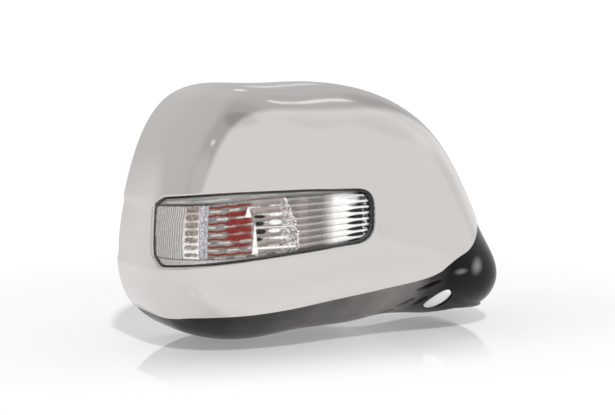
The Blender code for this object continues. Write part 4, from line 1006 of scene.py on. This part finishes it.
def bars_tone(x, z, row):
    """Rounded dark bars with bright gaps that widen towards the foot."""
    part = row % 1
    gap = 0.10 + 0.20 * (1 - ease(row, 0.3, 3.5))
    tone = mixed(filled(PINK, len(x)), WHITE, 1.1 - row / 7)
    across = (part - 0.5 - gap / 4) / (0.5 - 0.75 * gap)
    along = (x - (RIBS_END + BARS_END) / 2) / (0.46 * (BARS_END - RIBS_END))
    bar = 1 - ease(np.abs(across) ** 3.5 + np.abs(along) ** 3.5, 0.6, 1.3)
    tone = mixed(tone, ROSY, bar * (1 - 0.5 * (speckle(x, z, GRAIN) > 0.72)))
    return mixed(tone, GREY, 0.6 * bar * band(part, 0.55, 0.72, 0.06))


def red_tone(x, z, row, grain):
    """Red bars, a painted reflection of the amber bulb, between pale painted highlights, then blocks with
    painted bright and dark reflections.
    """
    part, number = row % 1, np.floor(row)
    # pale painted highlights along the foot of each row
    bright = 0.75 * band(part, 0.0, 0.22, 0.08) * (np.sin(x / 2.3 + 2.4 * number) > -0.2)
    red_part, block_part = band(x, RED_START, RED_END, 0.8), band(part, 0.46, 0.62, 0.06)
    tone = mixed(filled(GREY, len(x)), WHITE, bright)
    tone = mixed(tone, SMOKE, 0.6 * band(part, 0.22, 0.30, 0.04))
    # the painted red reflection of the bulb is strongest round its middle
    strong = band(x, RED_STRONG, RED_END, 2.0) * spot(x, z, *BULB_RED_REFLECTION, 0.35)
    width = 0.15 + 0.21 * strong * (0.8 + 0.2 * np.sin(x / 1.9 + number))
    wander = 0.05 * np.sin(x / 1.7 + 2 * number)
    stripe = 1 - ease(np.abs(part - 0.58 + wander), width - 0.07, width + 0.07)
    tone = mixed(tone, DULL_RED, red_part * stripe)
    tone = mixed(tone, RED, (0.15 + strong) * red_part * ease(stripe, 0.0, 0.6))
    tone = mixed(tone, RED, 0.55 * strong * spot(x, z, *BULB_RED_REFLECTION_CORE, 0.5))
    tone = mixed(tone, DULL_RED, 0.35 * strong * (grain > 0.55))
    tone = mixed(tone, BLACK, 0.22 * red_part * (grain > 0.5))
    tone = mixed(tone, SMOKE, 0.45 * band(x, RED_END, BLOCKS_END, 2) * (grain > 0.62))
    tone = mixed(tone, PINK, 0.35 * band(x, RED_END, BLOCKS_END, 4) * (part > 0.5))
    tone = mixed(tone, ROSY, 0.8 * band(x, *BLOCK_STRIPES, 2) * block_part)
    # scattered painted white glints on the blocks
    tone = mixed(tone, WHITE, 0.6 * band(x, *BLOCK_GLINTS, 1) * (grain > 0.7))
    # painted white highlights and dark reflections, then painted highlight lines and triangles
    for oval in WHITE_BLOCK_HIGHLIGHTS:
        tone = mixed(tone, WHITE, spot(x, z, *oval, 0.15) * (0.5 + 0.5 * (grain > 0.25)))
    for oval in DARK_SPOT_REFLECTIONS:
        tone = mixed(tone, BLACK, spot(x, z, *oval, 0.2))
    for low, high in HIGHLIGHT_LINES:
        tone = mixed(tone, WHITE, 0.95 * band(z, low, high, 0.25) * band(x, *LINES_SPAN, 1))
    for shape in HIGHLIGHT_TRIANGLES:
        tone = mixed(tone, WHITE, triangle(x, z, *shape))
    return tone


def flutes_tone(x, z, flute, grain):
    """Grey flutes with painted light: a painted highlight along each, whiter inboard, painted shade in their
    grooves, and a painted white highlight, dark painted streak reflections and painted glints at their inner
    end.
    """
    pale = ease(x, *PALE_FROM)
    edge = np.abs((flute + 0.5) % 1 - 0.5)
    pinkish = sum(share * band(x, low, high, 2) for low, high, share in PINK_FLUTES)
    tone = mixed(filled(ASH, len(x)), PINK, pinkish)
    # a painted highlight along each flute
    tone = mixed(tone, WHITE, 0.30 * band(flute % 1, 0.55, 0.8, 0.1) * (1 - pale))
    tone = mixed(tone, SMOKE, 0.35 * (grain > 0.6) * (1 - pale))
    # inboard the flutes turn white, a painted highlight
    tone = mixed(tone, WHITE, 0.95 * pale)
    faint = 0.55 + 0.4 * np.sin(3.1 * np.floor(flute + 0.5)) ** 2
    # painted shade in the grooves between the flutes
    tone = mixed(tone, SMOKE, faint * (1 - ease(edge, 0.02, 0.09)))
    # dark painted streak reflections at the inner end, thinned under the painted white highlight
    reach = 0.13 + 0.21 * ease(x, *STREAKS_SWELL)
    streak = band(x, STREAKS_START, STREAKS_END, 2.0) * (1 - ease(edge, reach - 0.05, reach + 0.04))
    tone = mixed(tone, WHITE, spot(x, z, *FLUTE_HIGHLIGHT, 0.25))
    tone = mixed(tone, BLACK, streak * (1 - 0.7 * spot(x, z, *FLUTE_HIGHLIGHT, 0.3)))
    # scattered painted white glints near the inner end
    return mixed(tone, WHITE, band(x, *END_GLINTS, 0.4) * (grain > 0.74) * 0.9)


def bevel_tone(x, above):
    """The strip above the rows: a painted line of shade at its foot, pale painted highlight streaks higher
    up and a few dark streaks.
    """
    left = 1 - ease(x, *BEVEL_DARK)
    streaks = 0.45 * band(above, 2.2, 3.0, 0.4) * (np.sin(x / 5.3) > -0.2)
    tone = mixed(filled(CLOUD, len(x)), WHITE, streaks)
    tone = mixed(tone, SMOKE, 0.8 * band(above, 3.6, 4.2, 0.3) * (np.sin(x / 7.1) > 0))
    dark = 1 - ease(above, 0.2 + 0.6 * left, 1.2 + 1.2 * left)
    return mixed(tone, CHARCOAL, (0.35 + 0.6 * left) * dark)


def optic_tone(outline, x, z):
    """Tones of the optics: each zone's own pattern with its painted reflections, painted shade along the
    border and the pale bevels.
    """
    row, flute = row_of(x, z, LEFT_ROWS), row_of(x, z, FLUTES)
    grain = speckle(x, z, GRAIN)
    count = len(x)
    tone = ribs_tone(x, z)
    for start, patch in (
        (RIBS_END, bars_tone(x, z, row)),
        (BARS_END, mixed(filled(FROST, count), SLATE, grain > 0.66)),
        # a lavender strip with scattered painted white glints
        (SPARKLE_END, mixed(filled(LAVENDER, count), WHITE, 0.4 * (grain > 0.8))),
        (RED_START, red_tone(x, z, row, grain)),
        (zigzag_x(z), flutes_tone(x, z, flute, grain)),
    ):
        tone = np.where((x > start)[:, None], patch, tone)
    chain = np.abs(x - zigzag_x(z))
    # a dark jagged line along the zigzag with painted white glints
    tone = mixed(tone, SMOKE, 1 - ease(chain, 0.4, 0.9))
    tone = mixed(tone, WHITE, (1 - ease(chain, 0.7, 1.2)) * (grain > 0.5))
    above, below = z - top_of_rows(x), foot_of_rows(x) - z
    tone = np.where((above > 0)[:, None], bevel_tone(x, above), tone)
    # below the rows: pale, with a painted line of shade at their foot
    lower = mixed(filled(PALE, count), BLACK, 0.8 * (1 - ease(below, 0.2, 0.9)))
    tone = np.where((below > 0)[:, None], lower, tone)
    # painted shade along the border, wider and darker at the inner end and along the top
    inner_end, top = ease(x, *DARK_END), ease(z, *DARK_TOP[0]) * ease(x, *DARK_TOP[1])
    wide = 0.8 + 1.0 * inner_end + 0.9 * top
    border = edge_distance(outline, x, z)
    shade = 0.25 + 0.7 * np.maximum(inner_end, top)
    return mixed(tone, BLACK, shade * (1 - ease(border, wide - 0.5, wide + 0.4)))


# ---------------------------------------------------------------- finishes of the CAD nodes
def finish_cad_nodes():
    slots = {part["node"]: part["material_slot"] for part in frame["record"]["subparts"]}
    for name, target in frame["nodes"].items():
        target.data.materials.clear()
        target.data.materials.append(finishes[slots[name]])


# ---------------------------------------------------------------- stage
def make_floor():
    """A pale floor, glossy beside the mirror, that ends in the light of the room."""
    centre = (cad_middle.x, cad_middle.y, FLOOR_Z)
    rings = [circle(AROUND_FLOOR) * radius + centre for radius in FLOOR_RINGS]
    faces = quads(len(rings), AROUND_FLOOR) + [list(range(AROUND_FLOOR))]
    floor = from_arrays("floor", np.concatenate(rings), [f[::-1] for f in faces], scale=1.0)
    made, tree, shader = shader_of("floor")
    feed(tree, shader, {
        "Base Color": (FLOOR_TONE, FLOOR_TONE, FLOOR_TONE, 1), "Roughness": 0.8, "Specular IOR Level": 0.0,
        "Emission Color": (1, 1, 1, 1), "Emission Strength": FLOOR_GLOW,
    })
    gloss = node(tree, "BsdfGlossy", {"Color": (SHEEN_GAIN, SHEEN_GAIN, SHEEN_GAIN, 1), "Roughness": 0.05})
    place = node(tree, "NewGeometry").outputs["Position"]
    sheen = oval_share(tree, place, (*SHEEN_CENTRE, FLOOR_Z), (*SHEEN_SIZE, 1), SHEEN_FADE, (SHEEN, 0.0))
    fade = oval_share(tree, place, centre, (1, 1, 1), FLOOR_FADE, (0.0, 1.0))
    glossy = mixed_shader(tree, sheen, shader.outputs["BSDF"], gloss.outputs["BSDF"])
    through = node(tree, "BsdfTransparent")
    show(tree, mixed_shader(tree, fade, glossy, through.outputs["BSDF"]))
    floor.data.materials.append(made)


def direction_share(tree, place, direction, limits, results, smooth=True):
    """Runs between two results by how far a direction lies along another."""
    values = {0: place, 1: Vector(direction).normalized()}
    along = node(tree, "VectorMath", values, operation="DOT_PRODUCT").outputs["Value"]
    return ranged(tree, along, limits, results, smooth)


def mixed_value(tree, share, first, second):
    return node(tree, "Mix", {"Factor": share, "A": first, "B": second}, data_type="FLOAT").outputs["Result"]


def make_room():
    """The room's light by direction; straight to the camera it is plain white."""
    world = bpy.data.worlds.new("room")
    bpy.context.scene.world = world
    world.use_nodes = True
    tree = world.node_tree
    tree.nodes.clear()
    place = node(tree, "TexCoord").outputs["Generated"]
    along = direction_share(tree, place, ROOM_AXIS, (-1, 1), (0, 1), smooth=False)
    downward = direction_share(tree, place, (0, 0, -1), (0.1, 0.25), (0, 1))
    total = mixed_value(tree, downward, profile_ramp(tree, along, ROOM_PROFILE), ROOM_FLOOR_LIGHT)
    for direction, half_angle, strength in ROOM_LAMPS:
        limits = cos(radians(half_angle * 1.4)), cos(radians(half_angle * 0.5))
        lamp = direction_share(tree, place, direction, limits, (0, strength))
        total = node(tree, "Math", {0: total, 1: lamp}, operation="ADD").outputs["Value"]
    seen = node(tree, "LightPath").outputs["Is Camera Ray"]
    values = {"Color": (1, 1, 1, 1), "Strength": mixed_value(tree, seen, total, ROOM_SEEN)}
    background = node(tree, "Background", values).outputs["Background"]
    node(tree, "OutputWorld", {"Surface": background})


def softbox(name, offset, size, watts):
    """A square area light aimed at the middle, left out of reflections."""
    light = bpy.data.lights.new(name, "AREA")
    light.size = size
    light.energy = watts
    made = new_object(name, light)
    made.location = cad_middle + Vector(offset)
    made.rotation_mode = "QUATERNION"
    made.rotation_quaternion = (cad_middle - made.location).to_track_quat("-Z", "Y")
    made.visible_camera = made.visible_glossy = False


def make_camera():
    azimuth, elevation = radians(CAMERA_AZIMUTH), radians(CAMERA_ELEVATION)
    back = Vector((sin(azimuth) * cos(elevation), -cos(azimuth) * cos(elevation), sin(elevation)))
    camera = new_object("camera", bpy.data.cameras.new("camera"))
    camera.data.lens = CAMERA_LENS
    camera.location = cad_middle + Vector(CAMERA_AIM) + back * CAMERA_REACH
    camera.rotation_mode = "QUATERNION"
    camera.rotation_quaternion = (-back).to_track_quat("-Z", "Y")
    bpy.context.scene.camera = camera


# ---------------------------------------------------------------- all of it
finish_cad_nodes()
lamp_line = lamp_outline()
make_chrome_cover(lamp_line)
make_lamp_rim(lamp_line)
make_lower_cover()
make_puddle_lens()
make_bezel()
make_glass()
make_lens(lamp_line)
make_tray(lamp_line)
make_optics(lamp_line)
make_floor()
make_room()
softbox("key", *KEY)
softbox("fill", *FILL)
make_camera()
bpy.context.scene.view_settings.view_transform = "Standard"
